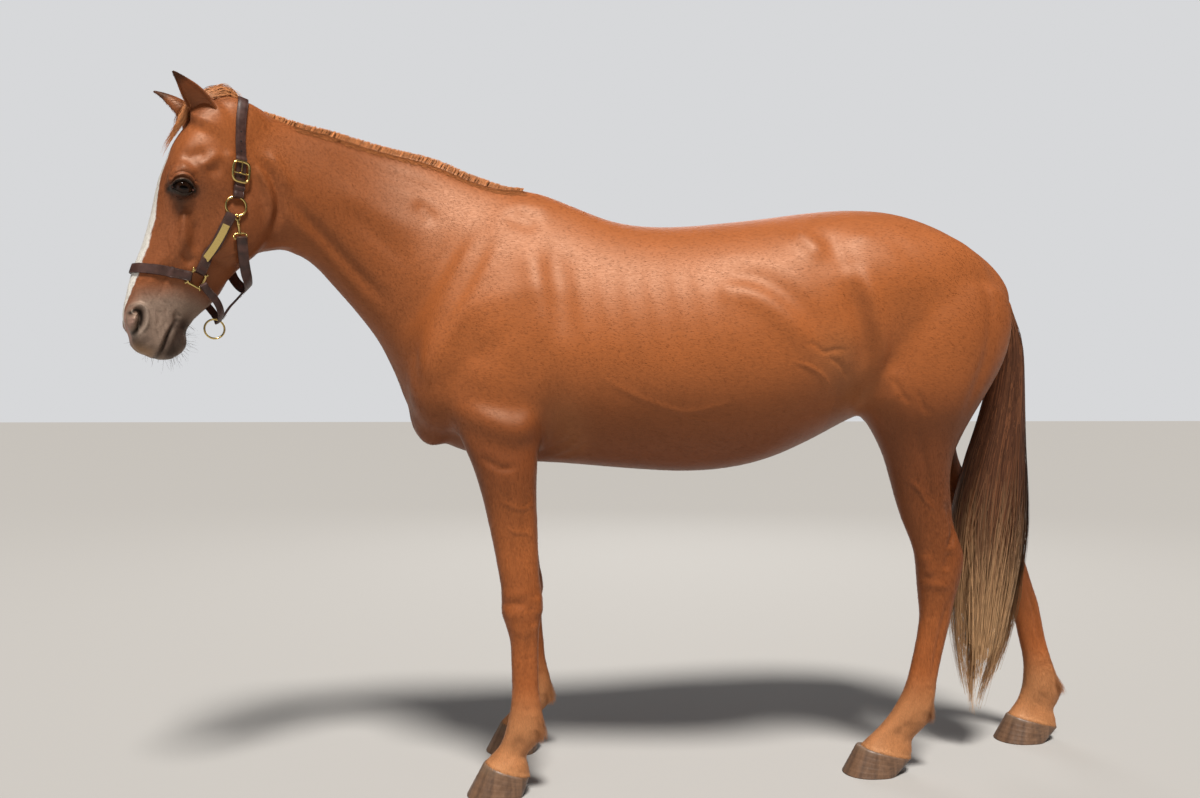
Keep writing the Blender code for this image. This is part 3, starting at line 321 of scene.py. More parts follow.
def bend(points):
    """Places after the neck is bent to the left."""
    reach = np.linspace(0, 2.0, 1001)
    heading = BEND_ANGLE * smooth_step(reach, BEND_START, BEND_END)
    step = reach[1]
    ahead = np.append(0, np.cumsum((np.cos(heading[1:]) + np.cos(heading[:-1])) * step / 2))
    aside = np.append(0, np.cumsum((np.sin(heading[1:]) + np.sin(heading[:-1])) * step / 2))
    points = np.array(points, float)
    distance, across = -points[..., 0], points[..., 1].copy()
    turn = np.where(distance > 0, np.interp(distance, reach, heading), 0)
    forward = np.where(distance > 0, np.interp(distance, reach, ahead), distance)
    sideways = np.where(distance > 0, np.interp(distance, reach, aside), 0)
    points[..., 0] = -forward - across * np.sin(turn)
    points[..., 1] = -sideways + across * np.cos(turn)
    return points


def bend_way(points, ways):
    """Directions at straight places, as they point after the neck is bent."""
    small = 0.001
    return unit(bend(points + ways * small) - bend(points))


def setback(table, height, side=RIGHT):
    """How far back a leg stands at a height: only the right ones do."""
    heights, distances = np.array(table)[::-1].T
    return np.interp(height, heights, distances) * (side == RIGHT)


def spine_body():
    """Trunk and neck in one loft, its sections leaning with the neck."""
    rings = []
    for top_x, top_z, low_x, low_z, width, level, power_top, power_low in refine(SPINE_STATIONS, 4):
        top, low = np.array([top_x, 0, top_z]), np.array([low_x, 0, low_z])
        height = np.linalg.norm(top - low)
        up = (top - low) / height
        centre = mix(low, top, level)
        rings.append(oval(centre, up, ACROSS, height * (1 - level), height * level, width,
                          power_top, power_low))
    return loft(rings)


def head_body():
    """The head from the poll to the lips."""
    rings = []
    for down, front, back, width, level, power_front, power_back in refine(HEAD_STATIONS, 4):
        depth = front - back
        centre = head_point(down, back + depth * level, 0)
        rings.append(oval(centre, HEAD_OUT, ACROSS, depth * (1 - level), depth * level, width,
                          power_front, power_back))
    return loft(rings)


def leg_body(stations, side, table):
    """A leg in level sections. The right one stands further back the lower it gets."""
    rings = []
    for height, front, back, apart, width in refine(stations, 3):
        centre = ((front + back) / 2 + setback(table, height, side), side * apart, height)
        half = (back - front) / 2
        rings.append(oval(centre, ALONG, ACROSS, half, half, width, 2.2, 2.2))
    return loft(rings)


def muscle_bodies():
    """The muscle masses of both sides."""
    bodies = []
    for x, y, z, along, across, upward, lean, splay in MUSCLES.values():
        for side in (LEFT, RIGHT):
            turn = Matrix.Rotation(math.radians(lean), 3, "Y")
            turn = turn @ Matrix.Rotation(math.radians(side * splay), 3, "X")
            axes = np.array(turn).T * np.array([[along], [across], [upward]])
            bodies.append(egg((x, side * y, z), axes))
    return bodies


def head_masses():
    """Orbits, cheeks, nostrils, lips and chin."""
    bodies = []
    for down, out, across, long, deep, wide in HEAD_FORMS.values():
        for side in (LEFT, RIGHT):
            centre = head_point(down, out, side * across)
            bodies.append(egg(centre, (HEAD_DOWN * long, ACROSS * wide, HEAD_OUT * deep)))
    return bodies


def relax(points, edges, rounds, weight):
    """Points pulled towards their neighbours' middle, each by its own weight."""
    first, second = edges.T
    count = len(points)
    valence = np.bincount(edges.ravel(), minlength=count)[:, None]
    for _ in range(rounds):
        total = np.empty_like(points)
        for axis in range(3):
            total[:, axis] = np.bincount(first, points[second, axis], count)
            total[:, axis] += np.bincount(second, points[first, axis], count)
        points = points + weight[:, None] * (total / valence - points)
    return points


def get_points(mesh, what="co"):
    """A mesh's points, or its directions at them, as an array."""
    points = np.empty(len(mesh.vertices) * 3)
    mesh.vertices.foreach_get(what, points)
    return points.reshape(-1, 3)


def set_points(mesh, points):
    """Puts an array of points back in a mesh."""
    mesh.vertices.foreach_set("co", np.asarray(points, float).ravel())
    mesh.update()


def get_edges(mesh):
    """A mesh's edges as pairs of point numbers."""
    edges = np.empty(len(mesh.edges) * 2, int)
    mesh.edges.foreach_get("vertices", edges)
    return edges.reshape(-1, 2)


def softness(points):
    """How much each part of the body is smoothed: most on the trunk, least on head and feet."""
    x, z = points[:, 0], points[:, 2]
    legs = np.interp(z, (0.60, 0.95), (0.10, 1.0))
    head = np.interp(x, (-1.36, -1.18), (0.06, 1.0))
    return 0.6 * np.minimum(legs, head)


def evaluated(thing, name):
    """A new mesh of an object with its modifiers applied; the object is removed."""
    graph = bpy.context.evaluated_depsgraph_get()
    mesh = bpy.data.meshes.new_from_object(thing.evaluated_get(graph))
    mesh.name = name
    bpy.data.objects.remove(thing)
    return mesh


def straight_body():
    """The fused and smoothed body, before the neck is bent."""
    pieces = [spine_body(), head_body()]
    for side in (LEFT, RIGHT):
        pieces += [leg_body(stations, side, table) for stations, table in LEGS.values()]
    pieces += muscle_bodies() + head_masses()
    form = bpy.data.objects.new("form", make_mesh("form", pieces))
    bpy.context.scene.collection.objects.link(form)
    fuse = form.modifiers.new("Fuse", "REMESH")
    fuse.mode = "VOXEL"
    fuse.voxel_size = FUSE_VOXEL
    mesh = evaluated(form, "skin")
    points = get_points(mesh)
    set_points(mesh, relax(points, get_edges(mesh), 30, softness(points)))
    return mesh


def on_head(points):
    """Places told as down, out and across the head. Off the head, down is far below zero."""
    from_poll = points - POLL
    down, out = from_poll @ HEAD_DOWN, from_poll @ HEAD_OUT
    return np.stack([np.where(points[:, 0] < HEAD_BEHIND, down, -9.0), out, points[:, 1]], axis=1)


def finer(mesh, chosen):
    """Halves the faces whose corners are all chosen."""
    body = bmesh.new()
    body.from_mesh(mesh)
    edges = [edge for edge in body.edges if all(chosen[vert.index] for vert in edge.verts)]
    bmesh.ops.subdivide_edges(body, edges=edges, cuts=1, use_grid_fill=True)
    bmesh.ops.triangulate(body, faces=[face for face in body.faces if len(face.verts) > 4])
    body.to_mesh(mesh)
    body.free()
    mesh.update()


# Forms of the trunk, neck and legs, seen from the side and alike on both sides. Each is a soft
# ridge (or a groove, where its height is below zero) along a path of x and z, with a width and a
# height. An "edge" is a step, raised on the right of its path as it is followed, and a "dot" is a
# ridge with no taper at its ends.
BODY_FORMS = {
    "groove before the shoulder": ("ridge", 0.032, -0.005,
        ((-0.735, 1.475), (-0.790, 1.385), (-0.862, 1.265), (-0.955, 1.140))),
    "front of the shoulder blade": ("ridge", 0.022, 0.0035,
        ((-0.695, 1.460), (-0.748, 1.377), (-0.808, 1.278), (-0.890, 1.175), (-0.930, 1.090))),
    "spine of the shoulder blade": ("ridge", 0.024, 0.0025,
        ((-0.640, 1.455), (-0.700, 1.320), (-0.765, 1.200), (-0.835, 1.090))),
    "groove on the shoulder blade": ("ridge", 0.020, -0.0025,
        ((-0.675, 1.440), (-0.735, 1.310), (-0.800, 1.200), (-0.875, 1.095))),
    "top of the shoulder blade": ("dot", 0.034, 0.0035, ((-0.600, 1.520), (-0.550, 1.515))),
    "hollow under the withers": ("dot", 0.028, -0.0050, ((-0.620, 1.478), (-0.588, 1.465))),
    "swell of the shoulder": ("ridge", 0.042, 0.0045,
        ((-0.790, 1.150), (-0.741, 1.215), (-0.640, 1.265), (-0.530, 1.280), (-0.470, 1.235))),
    "back of the shoulder": ("edge", 0.045, 0.006,
        ((-0.556, 1.430), (-0.540, 1.296), (-0.530, 1.200), (-0.538, 1.110))),
    "triceps": ("edge", 0.042, 0.0070,
        ((-0.535, 1.130), (-0.541, 1.043), (-0.553, 0.960), (-0.590, 0.905), (-0.654, 0.906),
         (-0.757, 0.955), (-0.855, 1.030))),
    "upper triceps": ("ridge", 0.026, -0.003, ((-0.770, 1.090), (-0.680, 1.130), (-0.590, 1.210))),
    "elbow fold": ("ridge", 0.008, -0.004, ((-0.551, 0.857), (-0.496, 0.884), (-0.458, 0.915))),
    "second elbow fold": ("ridge", 0.007, -0.003,
        ((-0.520, 0.845), (-0.470, 0.862), (-0.430, 0.895))),
    "end of the ribs": ("edge", 0.040, 0.0065,
        ((-0.150, 1.270), (-0.090, 1.292), (-0.010, 1.280), (0.075, 1.215), (0.134, 1.131),
         (0.150, 1.090))),
    "hollow of the flank": ("dot", 0.070, -0.009, ((0.170, 1.330), (0.205, 1.230))),
    "flank fold": ("ridge", 0.007, -0.003,
        ((0.090, 1.135), (0.122, 1.138), (0.151, 1.118), (0.185, 1.124), (0.225, 1.121))),
    "flank fold, lower": ("ridge", 0.007, -0.003, ((0.150, 1.112), (0.203, 1.083), (0.235, 1.040))),
    "flank vein": ("ridge", 0.006, 0.003,
        ((0.060, 1.095), (0.115, 1.080), (0.160, 1.050), (0.190, 1.000))),
    "point of the hip": ("dot", 0.030, 0.008, ((0.122, 1.425), (0.145, 1.395))),
    "behind the hip": ("dot", 0.032, -0.005, ((0.195, 1.410), (0.215, 1.350))),
    "front of the thigh": ("edge", 0.034, 0.010,
        ((0.272, 1.020), (0.288, 1.121), (0.268, 1.216), (0.248, 1.281), (0.225, 1.350))),
    "stifle": ("dot", 0.030, 0.006, ((0.345, 1.050), (0.352, 1.010))),
    "stifle fold": ("ridge", 0.008, -0.003, ((0.345, 1.065), (0.372, 1.010), (0.402, 0.985))),
    "stifle fold, behind": ("ridge", 0.008, -0.003,
        ((0.405, 1.030), (0.425, 0.980), (0.450, 0.955))),
    "back of the thigh": ("ridge", 0.017, -0.006,
        ((0.585, 1.400), (0.612, 1.260), (0.600, 1.120), (0.560, 1.000), (0.535, 0.900))),
    "croup": ("ridge", 0.030, -0.004, ((0.330, 1.440), (0.420, 1.330), (0.470, 1.200))),
    "belly vein": ("ridge", 0.006, 0.0022,
        ((-0.455, 1.079), (-0.317, 1.006), (-0.206, 0.969), (-0.130, 0.978), (-0.036, 1.006))),
    "belly vein, branch": ("ridge", 0.005, 0.002,
        ((-0.240, 0.978), (-0.170, 0.948), (-0.080, 0.940))),
    "jugular groove": ("ridge", 0.017, -0.008,
        ((-1.263, 1.521), (-1.175, 1.442), (-1.051, 1.322), (-0.945, 1.220))),
    "front of the neck": ("ridge", 0.020, 0.004,
        ((-1.252, 1.480), (-1.183, 1.405), (-1.056, 1.270), (-1.010, 1.205))),
    "back of the jaw": ("edge", 0.015, 0.007,
        ((-1.325, 1.600), (-1.282, 1.532), (-1.268, 1.471), (-1.280, 1.400))),
    "wing of the atlas": ("ridge", 0.014, 0.005,
        ((-1.290, 1.618), (-1.252, 1.560), (-1.228, 1.510))),
    "crest": ("ridge", 0.024, -0.004, ((-1.180, 1.655), (-0.960, 1.590), (-0.740, 1.520))),
    "neck muscle": ("ridge", 0.034, 0.004, ((-1.150, 1.560), (-0.980, 1.480), (-0.840, 1.400))),
    "neck muscle, lower": ("ridge", 0.026, -0.004,
        ((-1.120, 1.500), (-0.990, 1.410), (-0.890, 1.330))),
    "neck dent": ("dot", 0.022, -0.004, ((-0.870, 1.500), (-0.850, 1.480))),
    "fore crease": ("ridge", 0.009, -0.005, ((-0.720, 0.862), (-0.657, 0.828), (-0.605, 0.834))),
    "fore vein": ("ridge", 0.0055, 0.0018,
        ((-0.668, 0.752), (-0.640, 0.736), (-0.600, 0.724), (-0.568, 0.738))),
    "fore vein, lower": ("ridge", 0.0055, 0.0015,
        ((-0.650, 0.684), (-0.625, 0.668), (-0.590, 0.664), (-0.575, 0.640))),
    "forearm groove": ("ridge", 0.014, -0.0035,
        ((-0.645, 0.800), (-0.640, 0.680), (-0.629, 0.545))),
    "forearm groove, behind": ("ridge", 0.014, -0.0030,
        ((-0.588, 0.800), (-0.598, 0.670), (-0.588, 0.550))),
    "knee, upper": ("dot", 0.015, 0.0030, ((-0.640, 0.505), (-0.600, 0.512))),
    "knee, middle": ("ridge", 0.008, -0.0016, ((-0.655, 0.474), (-0.625, 0.488), (-0.585, 0.476))),
    "knee, side": ("dot", 0.010, -0.0030, ((-0.580, 0.470), (-0.572, 0.440))),
    "knee, lower": ("dot", 0.016, 0.0026, ((-0.638, 0.458), (-0.600, 0.462))),
    "knee, behind": ("dot", 0.011, 0.004, ((-0.562, 0.492), (-0.560, 0.465))),
    "fore tendon": ("ridge", 0.0085, -0.0045, ((-0.586, 0.425), (-0.591, 0.315), (-0.594, 0.225))),
    "fore fetlock": ("dot", 0.013, 0.003, ((-0.575, 0.200), (-0.572, 0.175))),
    "fore pastern": ("dot", 0.014, -0.003, ((-0.615, 0.135), (-0.625, 0.110))),
    "gaskin tendon": ("ridge", 0.010, -0.008,
        ((0.510, 0.740), (0.530, 0.700), (0.545, 0.655), (0.535, 0.620), (0.510, 0.595))),
    "gaskin groove": ("ridge", 0.012, -0.005, ((0.420, 0.930), (0.455, 0.800), (0.490, 0.680))),
    "gaskin vein": ("ridge", 0.005, 0.0025,
        ((0.390, 0.800), (0.430, 0.770), (0.470, 0.720), (0.500, 0.700))),
    "hock, front": ("dot", 0.013, 0.004, ((0.470, 0.575), (0.478, 0.545))),
    "hock, hollow": ("dot", 0.012, -0.005, ((0.528, 0.585), (0.522, 0.560))),
    "hock, lower": ("dot", 0.012, 0.003, ((0.480, 0.510), (0.515, 0.505))),
    "hind tendon": ("ridge", 0.0085, -0.0045, ((0.532, 0.480), (0.508, 0.340), (0.490, 0.226))),
    "hind fetlock": ("dot", 0.013, 0.003, ((0.490, 0.205), (0.480, 0.175))),
    "hind pastern": ("dot", 0.014, -0.003, ((0.420, 0.130), (0.400, 0.108))),
}
# Ribs, alike but for their place: the x of the first and the last, the path of one from its own
# x, its width and its height.
RIB_FROM, RIB_TO, RIB_COUNT = -0.460, -0.090, 7
RIB_PATH = ((-0.01, 1.380), (0.0, 1.260), (0.02, 1.140), (0.05, 1.040))
RIB_SHAPE = (0.018, 0.0012)

# Forms of the head, the same way, along paths of down and out.
FACE_FORMS = {
    "facial crest": ("ridge", 0.009, 0.006,
        ((0.290, 0.036), (0.323, 0.031), (0.368, 0.019), (0.402, 0.007))),
    "end of the crest": ("dot", 0.011, -0.006, ((0.412, 0.004), (0.418, -0.006))),
    "under the crest": ("ridge", 0.011, -0.004, ((0.315, 0.008), (0.360, -0.006), (0.405, -0.020))),
    "cheekbone arch": ("ridge", 0.015, 0.0048,
        ((0.212, 0.036), (0.199, 0.024), (0.168, 0.004), (0.143, -0.014))),
    "under the arch": ("ridge", 0.015, -0.0036, ((0.212, 0.012), (0.196, -0.004), (0.190, -0.024))),
    "hollow over the eye": ("dot", 0.017, -0.006, ((0.182, 0.056), (0.170, 0.038))),
    "brow": ("ridge", 0.012, 0.0028, ((0.224, 0.030), (0.214, 0.050), (0.216, 0.074))),
    "jaw joint": ("dot", 0.012, 0.004, ((0.150, -0.030), (0.165, -0.040))),
    "cheek, front": ("ridge", 0.014, -0.004, ((0.375, -0.030), (0.395, -0.060), (0.385, -0.110))),
    "cheek vein": ("ridge", 0.004, 0.0012,
        ((0.345, -0.150), (0.350, -0.120), (0.378, -0.090), (0.400, -0.050))),
    "lip muscle": ("ridge", 0.012, 0.003, ((0.395, 0.040), (0.455, 0.055), (0.530, 0.062))),
    "lip muscle, lower": ("ridge", 0.010, -0.003, ((0.420, 0.022), (0.470, 0.032), (0.540, 0.030))),
    "face vein": ("ridge", 0.0035, 0.0018,
        ((0.320, 0.050), (0.370, 0.050), (0.410, 0.036), (0.440, 0.050))),
    "face vein, branch": ("ridge", 0.0035, 0.0016,
        ((0.410, 0.036), (0.450, 0.024), (0.490, 0.022))),
    "nose bone": ("ridge", 0.008, 0.002, ((0.300, 0.088), (0.400, 0.088), (0.500, 0.090))),
    "nostril rim": ("ridge", 0.0055, 0.0045,
        ((0.572, 0.090), (0.555, 0.083), (0.549, 0.066), (0.560, 0.051), (0.586, 0.044),
         (0.611, 0.050), (0.624, 0.064))),
    "nostril": ("ridge", 0.0078, -0.019,
        ((0.574, 0.082), (0.564, 0.074), (0.563, 0.063), (0.578, 0.056), (0.598, 0.056),
         (0.616, 0.064))),
    "nostril wing": ("ridge", 0.006, 0.004, ((0.577, 0.073), (0.592, 0.070), (0.604, 0.074))),
    "muzzle fold": ("ridge", 0.004, -0.002, ((0.520, 0.030), (0.535, 0.012), (0.560, 0.004))),
    "muzzle fold, lower": ("ridge", 0.004, -0.002,
        ((0.545, 0.034), (0.562, 0.022), (0.592, 0.018))),
    "mouth corner": ("dot", 0.006, -0.004, ((0.552, -0.014), (0.563, -0.018))),
    "corner folds": ("ridge", 0.0035, -0.002, ((0.540, -0.006), (0.545, -0.018), (0.553, -0.030))),
}
MOUTH = ((0.664, 0.003), (0.652, -0.001), (0.630, -0.006), (0.600, -0.009), (0.562, -0.017))
LIPS = ((0.0030, (0.002, 0.011)), (0.0025, (-0.001, -0.011)))    # height, shift from the mouth
JAW_CHANNEL = 0.010          # depth of the hollow between the jaws

# Eyes: the ball's centre (down, out, across) and radius, the corners of the opening behind and in
# front (down, out), and how far the lids open above and below the line between the corners.
EYE_PLACE = np.array([0.262, 0.050, 0.0775])
EYE_RADIUS = 0.0240
EYE_CORNERS = np.array([(0.259, 0.0265), (0.268, 0.0750)])
EYE_MIDDLE = EYE_CORNERS.mean(axis=0)
EYE_HALF = math.dist(*EYE_CORNERS) / 2
EYE_ALONG = unit(EYE_CORNERS[1] - EYE_CORNERS[0])
EYE_UP = np.array([-EYE_ALONG[1], EYE_ALONG[0]])
EYES_AHEAD = -1.30           # the x that both eyes lie ahead of
LID_OPEN = (0.0165, 0.0140)
LID_BOW = (0.62, 0.85)       # how full the bow of the upper and the lower lid is, fullest at zero
LID_THICK = 0.0032
EYE_SOCKET = 0.005           # how far the skin sinks behind the ball's front
# Folds round the opening: height, how far out, width, and which share of it goes all round.
LID_FOLDS = (
    (0.0022, 0.0035, 0.0030, 1.0),
    (-0.0032, 0.0095, 0.0024, 0.35),
    (0.0026, 0.0150, 0.0040, 0.0),
    (-0.0016, 0.0215, 0.0028, 0.0),
)

FORM_TAPER = 0.32            # share of a form's length over which each of its ends fades
STEP_PEAK = 2.33             # brings a step's highest place to its full height


def form_height(places, kind, width, height, path):
    """How high one form stands at flat places."""
    line = refine(path, 4)
    lengths, starts = np.linalg.norm(np.diff(line, axis=0), axis=1), lengths_along(line)
    low, high = line.min(axis=0) - 3 * width, line.max(axis=0) + 3 * width
    close = np.nonzero(((places > low) & (places < high)).all(axis=1))[0]
    spots = places[close]
    gap, along, side = np.full(len(close), 9.0), np.zeros(len(close)), np.zeros(len(close))
    for here, there, start, length in zip(line, line[1:], starts, lengths):
        step = there - here
        part = np.clip((spots - here) @ step / length ** 2, 0, 1)
        away = spots - here - part[:, None] * step
        far = np.linalg.norm(away, axis=1)
        closer = far < gap
        gap = np.where(closer, far, gap)
        along = np.where(closer, start + part * length, along)
        side = np.where(closer, step[0] * away[:, 1] - step[1] * away[:, 0], side)
    fade = 1.0
    if kind != "dot":
        share = along / starts[-1]
        fade = smooth_step(np.minimum(share, 1 - share), 0.0, FORM_TAPER)
    level = gap / width
    profile = np.exp(-level ** 2)
    if kind == "edge":
        profile *= -STEP_PEAK * level * np.sign(side)
    rise = np.zeros(len(places))
    rise[close] = height * fade * profile
    return rise


def unshifted(points):
    """Places with the right legs brought level with the left ones."""
    moved = points.copy()
    for table, legs in ((FORE_SETBACK, points[:, 0] < 0), (HIND_SETBACK, points[:, 0] > 0.15)):
        legs = legs & (points[:, 1] > 0) & (points[:, 2] < 1.2)
        moved[legs, 0] -= setback(table, points[legs, 2])
    return moved


def body_forms(points):
    """Height of the trunk's, neck's and legs' forms over the smooth body."""
    places = unshifted(points)[:, (0, 2)]
    rise = sum(form_height(places, *form) for form in BODY_FORMS.values())
    share = smooth_step(np.abs(points[:, 1]), 0.02, 0.07)
    for top in np.linspace(RIB_FROM, RIB_TO, RIB_COUNT):
        rise += form_height(places, "ridge", *RIB_SHAPE, np.array(RIB_PATH) + (top, 0))
    return rise * np.where(points[:, 2] < 0.8, 1, share)


def face_forms(head):
    """Height of the head's forms over the smooth body."""
    places, across = head[:, :2], np.abs(head[:, 2])
    rise = sum(form_height(places, *form) for form in FACE_FORMS.values())
    rise *= smooth_step(across, 0.010, 0.026)
    rise += form_height(places, "ridge", 0.0035, -0.0065, MOUTH)
    for lift, shift in LIPS:
        rise += form_height(places, "ridge", 0.006, lift, np.array(MOUTH) + shift)
    between_jaws = smooth_step(-head[:, 1], 0.06, 0.12) * smooth_step(head[:, 1], -0.26, -0.20)
    between_jaws *= smooth_step(head[:, 0], 0.20, 0.28) * (1 - smooth_step(head[:, 0], 0.42, 0.50))
    return rise - JAW_CHANNEL * between_jaws * (1 - smooth_step(across, 0.010, 0.034))


def on_lids(head):
    """How far places lie along and above the line between an eye's corners, and outside the lids.

    The last is below zero where the eye is open.
    """
    flat = head[:, :2] - EYE_MIDDLE
    along, above = flat @ EYE_ALONG, flat @ EYE_UP
    bow = np.clip(1 - (along / EYE_HALF) ** 2, 0, 1)
    upper, lower = (most * bow ** power for most, power in zip(LID_OPEN, LID_BOW))
    outside = np.maximum(above - upper, -lower - above)
    past = np.maximum(np.abs(along) - EYE_HALF, 0)
    gap = np.where(past > 0, np.hypot(past, np.maximum(np.abs(above) - 0.001, 0)), outside)
    return along, above, gap


def shape_eyes(head):
    """Lids, folds and the opening round each eye, for places told on the head."""
    along, above, gap = on_lids(head)
    near = np.nonzero((np.hypot(along, above) < 0.060) & (np.abs(head[:, 2]) > 0.045))[0]
    along, above, gap, level = along[near], above[near], gap[near], np.abs(head[near, 2])
    reach = np.linalg.norm(head[near, :2] - EYE_PLACE[:2], axis=1)
    ball = EYE_PLACE[2] + np.sqrt(np.maximum(EYE_RADIUS ** 2 - reach ** 2, 0))
    ball = np.where(reach < EYE_RADIUS, ball, -1.0)
    upper = smooth_step(above, -0.005, 0.005)
    folds = sum(height * np.exp(-((gap - place) / width) ** 2) * mix(upper, 1, all_round)
                for height, place, width, all_round in LID_FOLDS)
    folds *= np.exp(-(np.maximum(np.abs(along) - EYE_HALF, 0) / 0.007) ** 2)
    lid = np.maximum(level, np.where(ball > 0, ball + LID_THICK, -1.0)) + folds
    sunk = np.where(ball > 0, ball - EYE_SOCKET, level - 0.006)
    changed = head.copy()
    changed[near, 2] = np.sign(head[near, 2]) * mix(sunk, lid, smooth_step(gap, -0.0012, 0.0))
    return changed


# Where the skin is made finer, step by step: ahead of one x and below one height, round the flank
# (x, z, and how far to each side), past one place down the head, and near eyes and nostrils.
FINE_AHEAD, FINE_BELOW = -1.19, 0.78
FINE_FLANK = ((0.23, 1.05), (0.20, 0.14))
FINE_MUZZLE = 0.49
FINE_EYES = (0.060, 0.044)
FINE_NOSTRIL = ((0.586, 0.066), 0.036)


def shape_skin():
    """The skin: the body's smooth shape, made finer and given its forms."""
    mesh = straight_body()

    def zones(level):
        points = get_points(mesh)
        head = on_head(points)
        head[:, 2] = np.abs(head[:, 2])
        eye = np.linalg.norm(head - EYE_PLACE, axis=1)
        if level == 0:
            middle, reach = FINE_FLANK
            flank = (np.abs(points[:, (0, 2)] - middle) < reach).all(axis=1)
            return (points[:, 0] < FINE_AHEAD) | (points[:, 2] < FINE_BELOW) | flank
        if level == 1:
            return (eye < FINE_EYES[0]) | (head[:, 0] > FINE_MUZZLE)
        middle, reach = FINE_NOSTRIL
        nostril = np.linalg.norm(head[:, :2] - middle, axis=1) < reach
        return (eye < FINE_EYES[1]) | (nostril & (head[:, 2] > 0.012))

    for level in (0, 1, 2):
        finer(mesh, zones(level))
        set_points(mesh, relax(get_points(mesh), get_edges(mesh), 4, 0.5 * zones(level)))
    points, normals = get_points(mesh), get_points(mesh, "normal")
    rise = body_forms(points) + face_forms(on_head(points)) - COAT_DEPTH
    points = points + normals * rise[:, None]
    on = points[:, 0] < EYES_AHEAD
    points[on] = from_head(shape_eyes(on_head(points[on])))
    set_points(mesh, points)
    return mesh


EAR_BASE = (0.095, -0.006, 0.042)
EAR_TIPS = {LEFT: (-0.008, 0.134, 0.066), RIGHT: (0.004, 0.152, 0.070)}
EAR_FACING = (-0.55, 0.75, -0.35)        # where the right one's hollow looks
EAR_SHELL = 0.0035           # thickness of the ear's wall
EAR_HOOK = 0.10              # how strongly the tip curls forward
# The skin rises round an ear's root: how far off at most, how wide in full and how wide its fall,
# and how high along the ear and outward.
EAR_REACH = 0.09
EAR_MOUND = (0.027, 0.013)
EAR_RISE = (0.016, 0.004)
# Ear: share of its length, half width, depth of its back, and how hollow its front is.
EAR_STATIONS = (
    (0.00, 0.018, 0.018, 0.0),
    (0.20, 0.025, 0.026, 0.0),
    (0.38, 0.031, 0.029, 0.35),
    (0.55, 0.030, 0.025, 0.70),
    (0.72, 0.023, 0.018, 0.75),
    (0.86, 0.013, 0.011, 0.70),
    (0.95, 0.0065, 0.006, 0.40),
    (1.00, 0.0022, 0.0025, 0.0),
)

# Colours of the coat and skin, and of their painted shade and highlights, as linear light.
CHESTNUT = (0.375, 0.108, 0.028)
# painted shade: a darker brown where shade falls on the coat
PAINTED_SHADE = (0.160, 0.042, 0.012)
THIN_HAIR = (0.330, 0.125, 0.045)
PASTERN = (0.560, 0.260, 0.110)
FACE_BROWN = (0.235, 0.072, 0.026)
MUZZLE_GREY = (0.270, 0.188, 0.142)
# dark of the lips and mouth, and painted shadow under the eyes
DARK_LIPS_AND_SHADE = (0.030, 0.018, 0.015)
# painted highlight: a pale line along the nostril rims and the upper lids' edges
RIM_HIGHLIGHT = (0.360, 0.285, 0.230)
# black of the skin round the eyes and at the ears' tips, and painted shade in the nostrils
BLACK_SKIN_AND_SHADE = (0.012, 0.008, 0.007)
SNIP_PINK = (0.520, 0.290, 0.235)
WHITE = (0.800, 0.770, 0.710)
LIP_TAN = (0.280, 0.150, 0.065)
TAIL_DARK = (0.075, 0.029, 0.016)
TAIL_BROWN = (0.210, 0.080, 0.036)
FLAXEN = (0.560, 0.335, 0.170)
MANE_TAN = (0.540, 0.215, 0.080)
# Blaze: down the head, half width.
BLAZE = ((0.155, 0.0), (0.180, 0.012), (0.240, 0.024), (0.340, 0.030), (0.450, 0.028),
         (0.500, 0.024), (0.550, 0.015), (0.590, 0.010), (0.612, 0.0))


def ear_frame(side):
    """An ear's root, tip, length direction, facing and edge direction, before the neck is bent."""
    root, tip = head_point(*EAR_BASE), head_point(*EAR_TIPS[side])
    root[1], tip[1] = side * root[1], side * tip[1]
    axis = unit(tip - root)
    facing = np.array(EAR_FACING) * (1, side, 1)
    facing = unit(facing - axis * (facing @ axis))
    return root, tip, axis, facing, np.cross(axis, facing)


def ear_body(side):
    """An ear: a solid root that opens into a pointed shell, facing forward and outward."""
    root, tip, _, facing, edge = ear_frame(side)
    turn = np.linspace(-math.pi / 2, math.pi / 2, 21)
    rings = []
    for part, width, depth, hollow in refine(EAR_STATIONS, 6):
        middle = root + (tip - root) * part + facing * EAR_HOOK * max(part - 0.6, 0) ** 2
        shell = min(EAR_SHELL, 0.6 * width, 0.6 * depth)
        back = [middle + edge * width * math.sin(a) - facing * depth * math.cos(a) for a in turn]
        lip = shell * (1 - hollow)
        front = [middle + edge * (width - shell) * math.sin(a)
                 - facing * ((depth - shell) * math.cos(a) * hollow - lip) for a in turn[::-1]]
        rings.append(np.array(back + front))
    return loft(rings)


# Spots of the face, in painting order, with painted shade in the nostrils and a painted highlight
# on their rims: colour, share, part of the face, width, and path of down and out.
FACE_PAINT = (
    (FACE_BROWN, 0.7, "whole", 0.020, ((0.530, 0.096), (0.560, 0.092))),
    (LIP_TAN, 0.8, "lips", 0.016, ((0.650, 0.050), (0.658, 0.025))),
    (DARK_LIPS_AND_SHADE, 0.92, "whole", 0.022, ((0.566, -0.036), (0.600, -0.034), (0.640, -0.026))),
    (DARK_LIPS_AND_SHADE, 0.85, "whole", 0.006, MOUTH),
    (DARK_LIPS_AND_SHADE, 0.6, "side", 0.012, ((0.624, 0.058), (0.632, 0.046), (0.620, 0.036))),
    # painted highlight along the nostril's raised rim
    (RIM_HIGHLIGHT, 0.42, "side", 0.0065, FACE_FORMS["nostril rim"][3]),
    (SNIP_PINK, 0.9, "middle", 0.016, ((0.592, 0.085), (0.625, 0.070))),
    (SNIP_PINK, 0.45, "side", 0.007, ((0.590, 0.076), (0.604, 0.078))),
    # painted shade: the nostril's opening painted black
    (BLACK_SKIN_AND_SHADE, 1.0, "side", 0.0056, FACE_FORMS["nostril"][3]),
)


